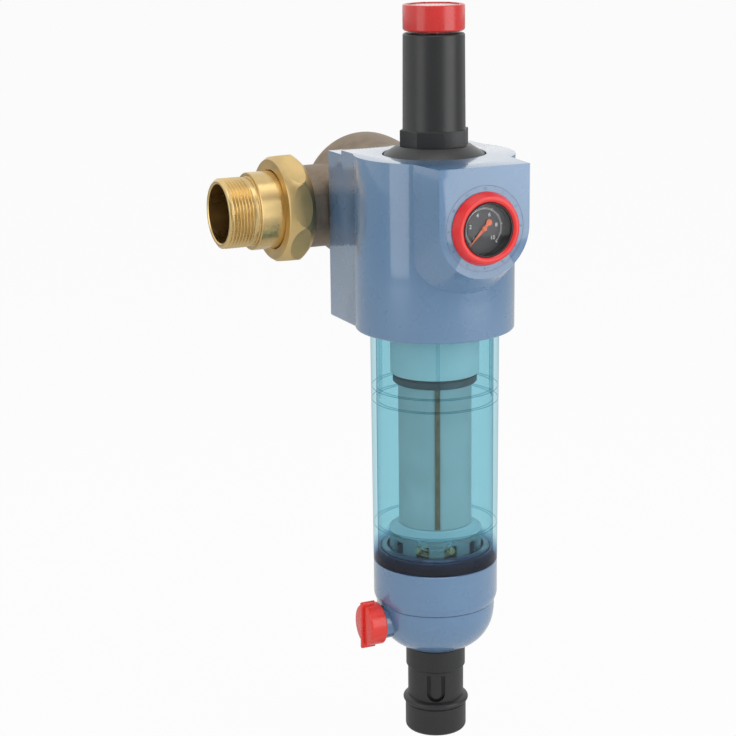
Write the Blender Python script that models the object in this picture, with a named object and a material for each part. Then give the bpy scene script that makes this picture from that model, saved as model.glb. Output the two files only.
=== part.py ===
"""A backwash water filter with pressure reducer, hung on a swivel flange in a horizontal pipe.

Sizes are in metres. The origin is the middle of the pipe line: +X runs along the pipe, the gauge
faces -Y, and +Z is up. The filter's main axis stands upright in front of the pipe line.
"""
import math

import bmesh
import bpy

# Clearances
SEAT_GAP = 0.0003
RUNNING_GAP = 0.0004

# Pipe line, unions and swivel flange
AXIS_DISTANCE = 0.088
PIPE_BORE = 0.020
ARM_STAND = 0.0195
RIGHT_ARM_TRIM = 0.0110
NECK_RADIUS = 0.0282
FLANGE_THREAD_RADIUS = 0.0296
FLANGE_THREAD_LENGTH = 0.0070
DOME_RADIUS = 0.045
DOME_SETBACK = 0.022
DOME_DEPTH = 0.022
FLANGE_FACE_RADIUS = 0.040
UNION_GASKET = 0.0020
TAIL_COLLAR_RADIUS = 0.0290
TAIL_COLLAR_LENGTH = 0.0056
TAIL_BARREL_RADIUS = 0.0264
TAIL_BARREL_LENGTH = 0.0208
TAIL_THREAD_RADIUS = 0.0239
TAIL_THREAD_LENGTH = 0.0217
NUT_SHOULDER = 0.0040
NUT_LENGTH = 0.0200
NUT_BARREL_RADIUS = 0.0383
NUT_FLAT_DISTANCE = 0.0356
NUT_FRONT_RADIUS = 0.0344
NUT_REAR_RADIUS = 0.0325
NUT_FLATS = 8
NUT_TURN = 10.7
PORT_RADIUS = 0.0090
PORT_RING_INNER = 0.0170
PORT_RING_OUTER = 0.0240
PORT_RING_DEPTH = 0.0050
WEB_START = 0.0080
WEB_THICKNESS = 0.0060
PORT_SEAL_WIDTH = 0.0030
PORT_SEAL_DEPTH = 0.0020
SCREW_SPREAD_X = 0.0200
SCREW_SPREAD_Z = 0.0290
SCREW_RADIUS = 0.0030
SCREW_HEAD_RADIUS = 0.0050
SCREW_HEAD_HEIGHT = 0.0060
SCREW_GRIP = 0.0100
SCREW_DEPTH = 0.0130

# Housing
HOUSING_TOP = 0.044
HOUSING_HEIGHT = 0.116
HOUSING_RADIUS = 0.0530
BLOCK_INSET = 0.0050
BLOCK_REACH = 0.062
BLOCK_STEP = 0.0028
BLOCK_STEP_DEPTH = 0.021
HOUSING_EDGE = 0.0012
BOSS_REACH = 0.070
BOSS_HALF_WIDTH = 0.032
BOSS_ROOT_DEPTH = 0.0230
BOSS_ROOT_HALF_WIDTH = 0.036
BOSS_ROOT_DROP = 0.0256
INLET_DISTANCE = 0.035
OUTLET_PORT_RADIUS = 0.0030

# Bonnet, cap and regulator
RECESS_DEPTH = 0.0080
RECESS_GAP = 0.0010
BONNET_FLANGE_RADIUS = 0.0330
BONNET_CONE_TOP = 0.0240
BONNET_CONE_HEIGHT = 0.0054
COLLAR_HEIGHT = 0.0106
COLLAR_RADIUS = 0.0232
COLLAR_HOLLOW = 0.0007
BARREL_HEIGHT = 0.0615
BARREL_FOOT_RADIUS = 0.0206
BARREL_TOP_RADIUS = 0.0201
BARREL_CHAMFER = 0.0010
SKIRT_RADIUS = 0.0270
SKIRT_LENGTH = 0.0140
SPRING_CHAMBER = 0.0175
BONNET_CROWN = 0.0095
COLLAR_TURN = -10.2
CAP_GAP = 0.0016
CAP_RADIUS = 0.0201
CAP_HEIGHT = 0.0168
CAP_RIM = 0.0033
CAP_RECESS = 0.0020
CAP_CROWN = 0.0022
CAP_HUB_RADIUS = 0.0075
CAP_BEVEL = 0.0012
DISC_THICKNESS = 0.0009
SPINDLE_RADIUS = 0.0040
SPINDLE_COLLAR_RADIUS = 0.0080
SPINDLE_COLLAR_HEIGHT = 0.0036
SPINDLE_THREAD_RADIUS = 0.0050
SPINDLE_THREAD_LENGTH = 0.0340
SPRING_PLATE_DROP = 0.0100
SPRING_PLATE_THICKNESS = 0.0060
SPRING_RADIUS = 0.0120
SPRING_WIRE = 0.0017
SPRING_TURNS = 7
DIAPHRAGM_THICKNESS = 0.0016
DIAPHRAGM_PLATE_RADIUS = 0.0160
DIAPHRAGM_PLATE_THICKNESS = 0.0050
SENSING_HEIGHT = 0.0080
REGULATOR_BORE = 0.0200
CARTRIDGE_HEIGHT = 0.0360
CARTRIDGE_WEB = 0.0050
CARTRIDGE_CHAMBER = 0.0140
CARTRIDGE_CHAMBER_HEIGHT = 0.0150
VALVE_SEAT_RADIUS = 0.0075
VALVE_SEAT_HEIGHT = 0.0030
VALVE_DISC_RADIUS = 0.0092
VALVE_DISC_HEIGHT = 0.0030
VALVE_STEM_RADIUS = 0.0035

# Gauge
GAUGE_DROP = 0.039
GAUGE_BODY_RADIUS = 0.0172
GAUGE_BODY_DEPTH = 0.0180
GAUGE_WALL = 0.0010
GAUGE_STAND = 0.0052
GAUGE_STEM_RADIUS = 0.0042
GAUGE_STEM_LENGTH = 0.0250
DIAL_THICKNESS = 0.0006
DIAL_DEPTH = 0.0066
LENS_THICKNESS = 0.0014
HUB_RADIUS = 0.0018
NEEDLE_LENGTH = 0.0150
NEEDLE_TAIL = 0.0050
NEEDLE_THICKNESS = 0.0005
NEEDLE_ZERO = 226.5
RING_ROOT_RADIUS = 0.0235
RING_FACE_RADIUS = 0.0216
RING_DEPTH = 0.0060

# Bowl and what it holds
BOWL_TOP_RADIUS = 0.0431
BOWL_FOOT_RADIUS = 0.0423
BOWL_BORE = 0.0393
BOWL_SOCKET_DEPTH = 0.0267
BOWL_SEAL = 0.0020
BOWL_HEIGHT = 0.1862
CHAMBER_RADIUS = 0.0360
CHAMBER_HEIGHT = 0.0050
RIB_WIDTH = 0.0024
RIB_HEIGHT = 0.0016
RIB_COUNT = 5
RIB_ANGLE = 246.0
RIB_LENGTH = 0.0640
SHOULDER_DROP = 0.0730
SHOULDER_GROOVE = 0.0004
SHOULDER_WIDTH = 0.0016
FOOT_LINE_RISE = 0.0257
HEAD_RADIUS = 0.0298
HEAD_WALL = 0.0024
HEAD_NECK_RADIUS = 0.0196
HEAD_NECK_WALL = 0.0034
HEAD_CLEARANCE = 0.0057
HEAD_SKIRT_HEIGHT = 0.0565
HEAD_SHOULDER = 0.0040
PACKING_RADIUS = 0.0282
PACKING_BORE = 0.0200
PACKING_HEIGHT = 0.0063
SLEEVE_RADIUS = 0.0248
SLEEVE_WALL = 0.0010
SEAM_WIDTH = 0.0032
SEAM_THICKNESS = 0.0006
SEAM_ANGLE = 247.0
BELL_HEIGHT = 0.0052
BELL_TOP_RADIUS = 0.0254
BELL_FOOT_RADIUS = 0.0315
BELL_WEB = 0.0024
BELL_BORE = 0.0045
GUIDE_RADIUS = 0.0315
GUIDE_WALL = 0.0024
GUIDE_HEIGHT = 0.0152
GUIDE_RISE = 0.0060
GUIDE_RIM = 0.0036
GUIDE_WINDOW = 0.0095
GUIDE_LEGS = 10
ROTOR_RADIUS = 0.0060
ROTOR_BORE = 0.0040
ROTOR_BLADE_REACH = 0.0215
ROTOR_BLADE_THICKNESS = 0.0024
ROTOR_END_GAP = 0.0030
INSERT_TRAVEL = 0.0060
RETURN_SPRING_RADIUS = 0.0112
RETURN_SPRING_WIRE = 0.0010
RETURN_SPRING_TURNS = 4
STANDPIPE_FLANGE_RADIUS = 0.0140
STANDPIPE_FLANGE = 0.0040
STANDPIPE_RADIUS = 0.0105
STANDPIPE_BORE = 0.0080
STANDPIPE_HEAD_DROP = 0.0020

# Bowl ring, drain cup, drain valve and nozzle
BOWL_RING_HEIGHT = 0.0288
BOWL_RING_SHOULDER = 0.0062
BOWL_RING_FOOT_RADIUS = 0.0408
SPIGOT_RADIUS = 0.0370
SPIGOT_HEIGHT = 0.0100
SPIGOT_BORE = 0.0330
BASE_SEAL_HEIGHT = 0.0062
CUP_RADIUS = 0.0404
CUP_DEPTH = 0.0350
CUP_RIM = 0.0015
CUP_FULLNESS = 2.4
CUP_SPIGOT_HEIGHT = 0.0160
CUP_CAVITY_RADIUS = 0.0280
CUP_CAVITY_DEPTH = 0.0070
CUP_FLOOR_DROP = 0.0060
CUP_THROAT_RADIUS = 0.0090
VALVE_DROP = 0.0115
BALL_RADIUS = 0.0120
BALL_BORE = 0.0070
BALL_SEAT_RADIUS = 0.0127
BALL_SEAT_BORE = 0.0080
BALL_SEAT_REACH = 0.0120
BALL_SEAT_START = 0.0040
KNOB_BOSS_RADIUS = 0.0110
KNOB_BOSS_REACH = 0.0430
DRAIN_STEM_RADIUS = 0.0050
DRAIN_STEM_LENGTH = 0.0380
KNOB_RADIUS = 0.0144
KNOB_FACE_RADIUS = 0.0140
KNOB_LENGTH = 0.0115
KNOB_EDGE = 0.0010
BAR_HALF_LENGTH = 0.0166
BAR_THICKNESS = 0.0020
BAR_PROUD = 0.0020
BAR_LENGTH = 0.0100
NOZZLE_HEAD_RADIUS = 0.0204
NOZZLE_HEAD_LENGTH = 0.0150
NOZZLE_NECK_RADIUS = 0.0192
NOZZLE_LENGTH = 0.0620
NOZZLE_BEAD_RADIUS = 0.0226
NOZZLE_BEAD_HEIGHT = 0.0046
NOZZLE_BEAD_DROP = 0.0400
NOZZLE_FOOT_RADIUS = 0.0210
NOZZLE_BORE = 0.0150
NOZZLE_SPIGOT_RADIUS = 0.0172
NOZZLE_SPIGOT_BORE = 0.0095
NOZZLE_ROUNDING = 0.0030
SLOT_TOP_DROP = 0.0180
SLOT_HEIGHT = 0.0190
SLOT_WIDTH = 0.0026
TONGUE_WIDTH = 0.0072
SLOT_ANGLE = 244.0

# Levels and places that follow from the sizes
BLOCK_HALF_WIDTH = HOUSING_RADIUS - BLOCK_INSET
FLANGE_REACH = BLOCK_HALF_WIDTH + ARM_STAND
BOSS_ROOT_REACH = HOUSING_RADIUS - BOSS_ROOT_DEPTH
BLOCK_BACK = -AXIS_DISTANCE + BLOCK_REACH
FLANGE_FRONT = BLOCK_BACK + SEAT_GAP
HOUSING_BOTTOM = HOUSING_TOP - HOUSING_HEIGHT
RECESS_FLOOR = HOUSING_TOP - RECESS_DEPTH
BONNET_SEAT = RECESS_FLOOR + SEAT_GAP
SKIRT_BOTTOM = BONNET_SEAT - SKIRT_LENGTH
DIAPHRAGM_TOP = SKIRT_BOTTOM - SEAT_GAP
DIAPHRAGM_BOTTOM = DIAPHRAGM_TOP - DIAPHRAGM_THICKNESS
DIAPHRAGM_LEDGE = DIAPHRAGM_BOTTOM - SEAT_GAP
COLLAR_BOTTOM = HOUSING_TOP + BONNET_CONE_HEIGHT
COLLAR_TOP = COLLAR_BOTTOM + COLLAR_HEIGHT
BONNET_TOP = COLLAR_TOP + BARREL_HEIGHT
CROWN_BOTTOM = BONNET_TOP - BONNET_CROWN
CAP_BOTTOM = BONNET_TOP + CAP_GAP
CAP_TOP = CAP_BOTTOM + CAP_HEIGHT
DISC_BOTTOM = CAP_TOP - CAP_RECESS + SEAT_GAP
CAP_CEILING = CAP_TOP - CAP_RECESS - CAP_CROWN
SPINDLE_TOP = CAP_CEILING - SEAT_GAP
SPINDLE_COLLAR_TOP = CROWN_BOTTOM - SEAT_GAP
THREAD_TOP = SPINDLE_COLLAR_TOP - SPINDLE_COLLAR_HEIGHT
SPRING_PLATE_TOP = THREAD_TOP - SPRING_PLATE_DROP
SPRING_PLATE_BOTTOM = SPRING_PLATE_TOP - SPRING_PLATE_THICKNESS
PLATE_BOTTOM = DIAPHRAGM_TOP + SEAT_GAP
PLATE_TOP = PLATE_BOTTOM + DIAPHRAGM_PLATE_THICKNESS
CARTRIDGE_TOP = DIAPHRAGM_LEDGE - SENSING_HEIGHT
CARTRIDGE_BOTTOM = CARTRIDGE_TOP - CARTRIDGE_HEIGHT
CHAMBER_TOP = CARTRIDGE_TOP - CARTRIDGE_WEB
SEAT_TOP = CHAMBER_TOP - CARTRIDGE_CHAMBER_HEIGHT
SEAT_BOTTOM = SEAT_TOP - VALVE_SEAT_HEIGHT
VALVE_DISC_TOP = SEAT_BOTTOM - SEAT_GAP
BOWL_LEDGE = HOUSING_BOTTOM + BOWL_SOCKET_DEPTH
CHAMBER_CEILING = BOWL_LEDGE + CHAMBER_HEIGHT
BOWL_SEAL_TOP = BOWL_LEDGE - SEAT_GAP
BOWL_TOP = BOWL_SEAL_TOP - BOWL_SEAL - SEAT_GAP
BOWL_BOTTOM = BOWL_TOP - BOWL_HEIGHT
RING_TOP = BOWL_BOTTOM - SEAT_GAP
RING_BOTTOM = RING_TOP - BOWL_RING_HEIGHT
CUP_TOP = RING_BOTTOM - SEAT_GAP
HEAD_TOP = CARTRIDGE_BOTTOM - SEAT_GAP
HEAD_SHOULDER_TOP = CHAMBER_CEILING - HEAD_CLEARANCE
HEAD_BOTTOM = HEAD_SHOULDER_TOP - HEAD_SKIRT_HEIGHT
PACKING_TOP = HEAD_BOTTOM - SEAT_GAP
PACKING_BOTTOM = PACKING_TOP - PACKING_HEIGHT
SLEEVE_TOP = PACKING_BOTTOM - SEAT_GAP
GUIDE_BOTTOM = RING_TOP + GUIDE_RISE
GUIDE_TOP = GUIDE_BOTTOM + GUIDE_HEIGHT
BELL_BOTTOM = GUIDE_TOP + SEAT_GAP
BELL_TOP = BELL_BOTTOM + BELL_HEIGHT
SLEEVE_BOTTOM = BELL_TOP + SEAT_GAP
VALVE_LEVEL = CUP_TOP - VALVE_DROP
VALVE_CEILING = VALVE_LEVEL + BALL_SEAT_REACH + SEAT_GAP
CUP_FLOOR = VALVE_CEILING + CUP_FLOOR_DROP
STANDPIPE_TOP = GUIDE_BOTTOM - STANDPIPE_HEAD_DROP
CUP_BOTTOM_RADIUS = NOZZLE_HEAD_RADIUS + RUNNING_GAP
NOZZLE_SPIGOT_TOP = VALVE_LEVEL - BALL_SEAT_REACH - SEAT_GAP
GAUGE_LEVEL = HOUSING_TOP - GAUGE_DROP

# Colours as linear red, green and blue
BLUE = (0.130, 0.255, 0.480)
RED = (0.800, 0.030, 0.025)
BLACK = (0.018, 0.019, 0.020)
BRASS = (0.560, 0.390, 0.140)
BRONZE = (0.260, 0.205, 0.150)
STEEL = (0.420, 0.440, 0.440)
RUBBER = (0.012, 0.012, 0.014)
WHITE = (0.800, 0.820, 0.800)
CLEAR = (0.280, 0.620, 0.740)


def remove_old_objects():
    for old in list(bpy.data.objects):
        bpy.data.objects.remove(old)


def finish(name, colour, roughness, metallic=0.0, alpha=1.0):
    material = bpy.data.materials.new(name)
    material.use_nodes = True
    shader = material.node_tree.nodes["Principled BSDF"]
    shader.inputs["Base Color"].default_value = (*colour, 1.0)
    shader.inputs["Roughness"].default_value = roughness
    shader.inputs["Metallic"].default_value = metallic
    shader.inputs["Alpha"].default_value = alpha
    return material


def make_object(name, bm, material=None, place=(0, 0, 0), turn=(0, 0, 0)):
    bmesh.ops.recalc_face_normals(bm, faces=bm.faces)
    mesh = bpy.data.meshes.new(name)
    bm.to_mesh(mesh)
    bm.free()
    mesh.shade_smooth()
    mesh.set_sharp_from_angle(angle=math.radians(32))
    item = bpy.data.objects.new(name, mesh)
    bpy.context.scene.collection.objects.link(item)
    item.location = place
    item.rotation_euler = turn
    if material:
        mesh.materials.append(material)
    else:
        item.hide_render = True
        item.display_type = "WIRE"
    return item


MAIN_AXIS = (0, -AXIS_DISTANCE, 0)
ALONG_X = (0, math.radians(90), 0)
ALONG_MINUS_X = (0, math.radians(-90), 0)
TO_FRONT = (math.radians(90), 0, 0)
TO_BACK = (math.radians(-90), 0, 0)


def turned_mesh(profile, steps):
    """Turn an outline of (radius, height) points about Z. An outline that ends on the axis stays open."""
    bm = bmesh.new()
    points = [bm.verts.new((radius, 0, height)) for radius, height in profile]
    edges = [bm.edges.new(pair) for pair in zip(points, points[1:])]
    if profile[0][0] > 0 or profile[-1][0] > 0:
        edges.append(bm.edges.new((points[-1], points[0])))
    bmesh.ops.spin(bm, geom=points + edges, cent=(0, 0, 0), axis=(0, 0, 1),
                   angle=math.tau, steps=steps, use_merge=True)
    bmesh.ops.remove_doubles(bm, verts=bm.verts, dist=1e-6)
    middles = [v for v in bm.verts if v.co.xy.length < 1e-7]
    flat = [v for v in middles if all(abs(e.other_vert(v).co.z - v.co.z) < 1e-7 for e in v.link_edges)]
    bmesh.ops.dissolve_verts(bm, verts=flat)
    return bm


def turned(name, profile, material=None, place=(0, 0, 0), turn=(0, 0, 0), steps=20):
    return make_object(name, turned_mesh(profile, steps), material, place, turn)


def tube(inner, outer, low, high):
    return [(inner, low), (outer, low), (outer, high), (inner, high)]


def rod(radius, low, high):
    return [(0, low), (radius, low), (radius, high), (0, high)]


def arc(centre, radius, start, end, count):
    """Points on an arc in the outline plane, angles in degrees."""
    points = []
    for index in range(count + 1):
        angle = math.radians(start + (end - start) * index / count)
        points.append((centre[0] + radius * math.cos(angle), centre[1] + radius * math.sin(angle)))
    return points


def box(name, low, high, material=None, place=(0, 0, 0), turn=(0, 0, 0)):
    bm = bmesh.new()
    bmesh.ops.create_cube(bm, size=1.0)
    size = [b - a for a, b in zip(low, high)]
    middle = [(a + b) / 2 for a, b in zip(low, high)]
    bmesh.ops.scale(bm, vec=size, verts=bm.verts)
    bmesh.ops.translate(bm, vec=middle, verts=bm.verts)
    return make_object(name, bm, material, place, turn)


def combine(target, tools, operation):
    for tool in tools:
        step = target.modifiers.new(tool.name, "BOOLEAN")
        step.operation = operation
        step.object = tool
        step.solver = "EXACT"
    return target


def cut(target, *tools):
    return combine(target, tools, "DIFFERENCE")


def join(target, *tools):
    return combine(target, tools, "UNION")


def at_height(height):
    return (0, -AXIS_DISTANCE, height)


def extruded(name, outline, low, high, material=None, place=(0, 0, 0), turn=(0, 0, 0)):
    """Extrude a closed outline of (x, y) points from low to high."""
    bm = bmesh.new()
    loop = [bm.verts.new((x, y, low)) for x, y in outline]
    face = bm.faces.new(loop)
    grown = bmesh.ops.extrude_face_region(bm, geom=[face])
    raised = [part for part in grown["geom"] if isinstance(part, bmesh.types.BMVert)]
    bmesh.ops.translate(bm, vec=(0, 0, high - low), verts=raised)
    return make_object(name, bm, material, place, turn)


def lofted(name, rings, material=None, place=(0, 0, 0), turn=(0, 0, 0)):
    """Bridge closed rings of points one after the other and close both ends."""
    bm = bmesh.new()
    loops = []
    for ring in rings:
        points = [bm.verts.new(point) for point in ring]
        loops.append([bm.edges.new((points[i - 1], points[i])) for i in range(len(points))])
    for first, second in zip(loops, loops[1:]):
        bmesh.ops.bridge_loops(bm, edges=first + second)
    bmesh.ops.holes_fill(bm, edges=[edge for edge in bm.edges if edge.is_boundary])
    return make_object(name, bm, material, place, turn)


def coil_mesh(radius, wire, low, high, turns, around=10, sides=5):
    """A round wire wound on a cylinder, with flat closed ends."""
    bm = bmesh.new()
    rise = (high - low - 2 * wire) / turns
    steps = turns * around
    previous = None
    for index in range(steps + 1):
        angle = math.tau * index / around
        height = low + wire + rise * index / around
        ring = []
        for side in range(sides):
            tilt = math.tau * side / sides
            reach = radius + wire * math.cos(tilt)
            lift = height + wire * math.sin(tilt)
            ring.append(bm.verts.new((reach * math.cos(angle), reach * math.sin(angle), lift)))
        if previous:
            for side in range(sides):
                after = (side + 1) % sides
                bm.faces.new((previous[side], previous[after], ring[after], ring[side]))
        else:
            bm.faces.new(ring)
        previous = ring
    bm.faces.new(list(reversed(previous)))
    return bm


def swivel_flange():
    """Cast body: dome behind the pipe line, flat front, and a pipe run with a male thread each side."""
    depth = DOME_SETBACK - FLANGE_FRONT
    outline = [(0, 0), (FLANGE_FACE_RADIUS, 0), (FLANGE_FACE_RADIUS, depth * 0.3)]
    outline += [(DOME_RADIUS * math.cos(math.radians(a)) if a < 90 else 0,
                 depth + DOME_DEPTH * math.sin(math.radians(a))) for a in range(0, 91, 15)]
    body = turned("swivel_flange", outline, finish("cast_bronze", BRONZE, 0.5, 0.8),
                  (0, FLANGE_FRONT, 0), TO_BACK, 32)
    mirrored = [(radius, -along) for radius, along in reversed(arm_outline("left"))]
    run = turned("flange_run", mirrored + arm_outline("right"), None, (0, 0, 0), ALONG_X, 28)
    join(body, run)
    side = BLOCK_HALF_WIDTH + 0.002
    far = DOME_RADIUS + NECK_RADIUS
    facing = box("front_facing", (-side, FLANGE_FRONT - far, -far), (side, FLANGE_FRONT, far))
    cut(body, facing)
    reach = FLANGE_REACH + 0.01
    left = turned("left_waterway", rod(PIPE_BORE, -reach, WEB_START), None, (0, 0, 0), ALONG_X)
    right = turned("right_waterway", rod(PIPE_BORE, WEB_START + WEB_THICKNESS, reach), None,
                   (0, 0, 0), ALONG_X)
    middle = (PORT_RING_INNER + PORT_RING_OUTER) / 2
    passage = turned("outlet_passage", rod(OUTLET_PORT_RADIUS, 0.001, -FLANGE_FRONT), None,
                     (middle, FLANGE_FRONT, 0), TO_BACK, 16)
    cut(body, left, right, flange_face_cutter(), passage)
    for index, (x, z) in enumerate(screw_places()):
        hole = turned(f"flange_hole_{index}", rod(SCREW_RADIUS + SEAT_GAP, -0.01, 0.08), None,
                      (x, FLANGE_FRONT, z), TO_BACK, 10)
        pocket = turned(f"screw_pocket_{index}", rod(SCREW_HEAD_RADIUS + RUNNING_GAP, SCREW_GRIP, 0.08),
                        None, (x, FLANGE_FRONT, z), TO_BACK, 14)
        cut(body, hole, pocket)


def arm_reach(side):
    return FLANGE_REACH if side == "left" else FLANGE_REACH - RIGHT_ARM_TRIM


def arm_outline(side):
    """Neck and male thread of one arm of the pipe run."""
    end = arm_reach(side)
    thread_start = end - FLANGE_THREAD_LENGTH
    return [(NECK_RADIUS, thread_start), (FLANGE_THREAD_RADIUS, thread_start),
            (FLANGE_THREAD_RADIUS, end), (0, end)]


def flange_face_cutter():
    """Inlet port, outlet groove and the two seal grooves round them, turned as one tool."""
    outside = -0.005
    outline = [(0, -FLANGE_FRONT), (PORT_RADIUS, -FLANGE_FRONT), (PORT_RADIUS, outside)]
    (_, inner_seal), (_, outer_seal) = port_seal_radii()
    seal_depth = PORT_SEAL_DEPTH + SEAT_GAP
    grooves = ((inner_seal - SEAT_GAP, inner_seal + PORT_SEAL_WIDTH + SEAT_GAP, seal_depth),
               (PORT_RING_INNER, PORT_RING_OUTER, PORT_RING_DEPTH),
               (outer_seal - SEAT_GAP, outer_seal + PORT_SEAL_WIDTH + SEAT_GAP, seal_depth))
    for inner, outer, depth in grooves:
        outline += [(inner, outside), (inner, depth), (outer, depth), (outer, outside)]
    outline += [(outline[-1][0], 2 * outside), (0, 2 * outside)]
    return turned("flange_face_cutter", outline, None, (0, FLANGE_FRONT, 0), TO_BACK, 24)


def port_seal_radii():
    between = (PORT_RADIUS + PORT_RING_INNER - PORT_SEAL_WIDTH) / 2
    return (("inner_port_seal", between), ("outer_port_seal", PORT_RING_OUTER + 0.002))


def port_seals():
    rubber = finish("port_seal_rubber", RUBBER, 0.7)
    for name, inner in port_seal_radii():
        profile = tube(inner, inner + PORT_SEAL_WIDTH, 0, PORT_SEAL_DEPTH)
        turned(name, profile, rubber, (0, FLANGE_FRONT, 0), TO_BACK, 24)


def screw_places():
    return [(x, z) for x in (-SCREW_SPREAD_X, SCREW_SPREAD_X) for z in (-SCREW_SPREAD_Z, SCREW_SPREAD_Z)]


def flange_screws():
    steel = finish("screw_steel", STEEL, 0.35, 1.0)
    for index, (x, z) in enumerate(screw_places()):
        head = SCREW_GRIP + SEAT_GAP
        top = head + SCREW_HEAD_HEIGHT
        socket = SCREW_HEAD_RADIUS * 0.55
        outline = [(0, -SCREW_DEPTH), (SCREW_RADIUS, -SCREW_DEPTH), (SCREW_RADIUS, head),
                   (SCREW_HEAD_RADIUS, head), (SCREW_HEAD_RADIUS, top), (socket, top),
                   (socket, top - SCREW_HEAD_HEIGHT / 2), (0, top - SCREW_HEAD_HEIGHT / 2)]
        turned(f"flange_screw_{index + 1}", outline, steel, (x, FLANGE_FRONT, z), TO_BACK, 10)


def union(side, turn):
    """One pipe union: gasket, tail piece with male pipe thread, and the nut that draws it in."""
    gasket_in = arm_reach(side) + SEAT_GAP
    gasket_out = gasket_in + UNION_GASKET
    turned("union_gasket_" + side, tube(PIPE_BORE, TAIL_COLLAR_RADIUS - 0.001, gasket_in, gasket_out),
           finish("gasket_" + side, RUBBER, 0.8), (0, 0, 0), turn)
    start = gasket_out + SEAT_GAP
    collar_end = start + TAIL_COLLAR_LENGTH
    barrel_end = collar_end + TAIL_BARREL_LENGTH
    thread_end = barrel_end + TAIL_THREAD_LENGTH
    slope = TAIL_BARREL_RADIUS - TAIL_THREAD_RADIUS
    outline = [(PIPE_BORE, start), (TAIL_COLLAR_RADIUS, start), (TAIL_COLLAR_RADIUS, collar_end),
               (TAIL_BARREL_RADIUS, collar_end), (TAIL_BARREL_RADIUS, barrel_end - slope),
               (TAIL_THREAD_RADIUS, barrel_end), (TAIL_THREAD_RADIUS, thread_end - 0.001),
               (TAIL_THREAD_RADIUS - 0.001, thread_end), (PIPE_BORE, thread_end)]
    brass = finish("brass_" + side, BRASS, 0.3, 1.0)
    turned("tail_piece_" + side, outline, brass, (0, 0, 0), turn, 24)
    shoulder = collar_end + SEAT_GAP
    front = shoulder + NUT_SHOULDER
    rear = front - NUT_LENGTH
    middle = (front + rear) / 2
    bore = FLANGE_THREAD_RADIUS + RUNNING_GAP
    hole = TAIL_BARREL_RADIUS + RUNNING_GAP
    outline = [(bore, rear), (NUT_REAR_RADIUS, rear)]
    outline += [(NUT_REAR_RADIUS + (NUT_BARREL_RADIUS - NUT_REAR_RADIUS) * math.sin(math.radians(a)),
                 rear + (middle - rear) * a / 90) for a in range(22, 91, 22)]
    outline += [(NUT_FRONT_RADIUS + (NUT_BARREL_RADIUS - NUT_FRONT_RADIUS) * math.cos(math.radians(a)),
                 middle + (front - middle) * a / 90) for a in range(22, 91, 22)]
    outline += [(NUT_FRONT_RADIUS, front), (hole + 0.001, front), (hole, front - 0.001),
                (hole, shoulder), (bore, shoulder)]
    nut = turned("union_nut_" + side, outline, brass, (0, 0, 0), turn, 24)
    corner = NUT_FLAT_DISTANCE / math.cos(math.pi / NUT_FLATS)
    first = math.radians(NUT_TURN) + math.pi / NUT_FLATS
    flats = [(corner * math.cos(first + math.tau * i / NUT_FLATS),
              corner * math.sin(first + math.tau * i / NUT_FLATS)) for i in range(NUT_FLATS)]
    prism = extruded("nut_flats_" + side, flats, rear - 0.01, front + 0.01, None, (0, 0, 0), turn)
    combine(nut, [prism], "INTERSECT")


def body_outline():
    corner = math.degrees(math.acos(BLOCK_HALF_WIDTH / HOUSING_RADIUS))
    front = arc((0, 0), HOUSING_RADIUS, 180 - corner, 360 + corner, 30)
    return [(BLOCK_HALF_WIDTH, BLOCK_REACH), (-BLOCK_HALF_WIDTH, BLOCK_REACH)] + front


def boss_ring(half_width, centre, reach):
    """One U-shaped ring of the gauge boss: flat top, straight sides and a round underside."""
    points = [(-half_width, -reach, HOUSING_TOP)]
    points += [(x, -reach, z) for x, z in arc((0, centre), half_width, 180, 360, 14)]
    points.append((half_width, -reach, HOUSING_TOP))
    return points


def gauge_boss():
    rings = [boss_ring(BOSS_ROOT_HALF_WIDTH, GAUGE_LEVEL - BOSS_ROOT_DROP, BOSS_ROOT_REACH),
             boss_ring(BOSS_HALF_WIDTH, GAUGE_LEVEL, BOSS_REACH)]
    return lofted("gauge_boss", rings, None, MAIN_AXIS)


def main_bores():
    """One stepped bore from top to bottom: bonnet recess, thread, reducer bore, chamber, bowl socket."""
    recess = BONNET_FLANGE_RADIUS + RECESS_GAP
    thread = SKIRT_RADIUS + RUNNING_GAP
    socket = BOWL_TOP_RADIUS + RUNNING_GAP
    outline = [(0, HOUSING_BOTTOM - 0.01), (socket, HOUSING_BOTTOM - 0.01), (socket, BOWL_LEDGE),
               (CHAMBER_RADIUS, BOWL_LEDGE), (CHAMBER_RADIUS, CHAMBER_CEILING),
               (REGULATOR_BORE, CHAMBER_CEILING), (REGULATOR_BORE, DIAPHRAGM_LEDGE),
               (thread, DIAPHRAGM_LEDGE), (thread, RECESS_FLOOR), (recess, RECESS_FLOOR),
               (recess, HOUSING_TOP + 0.01), (0, HOUSING_TOP + 0.01)]
    return turned("main_bores", outline, None, MAIN_AXIS, steps=28)


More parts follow.
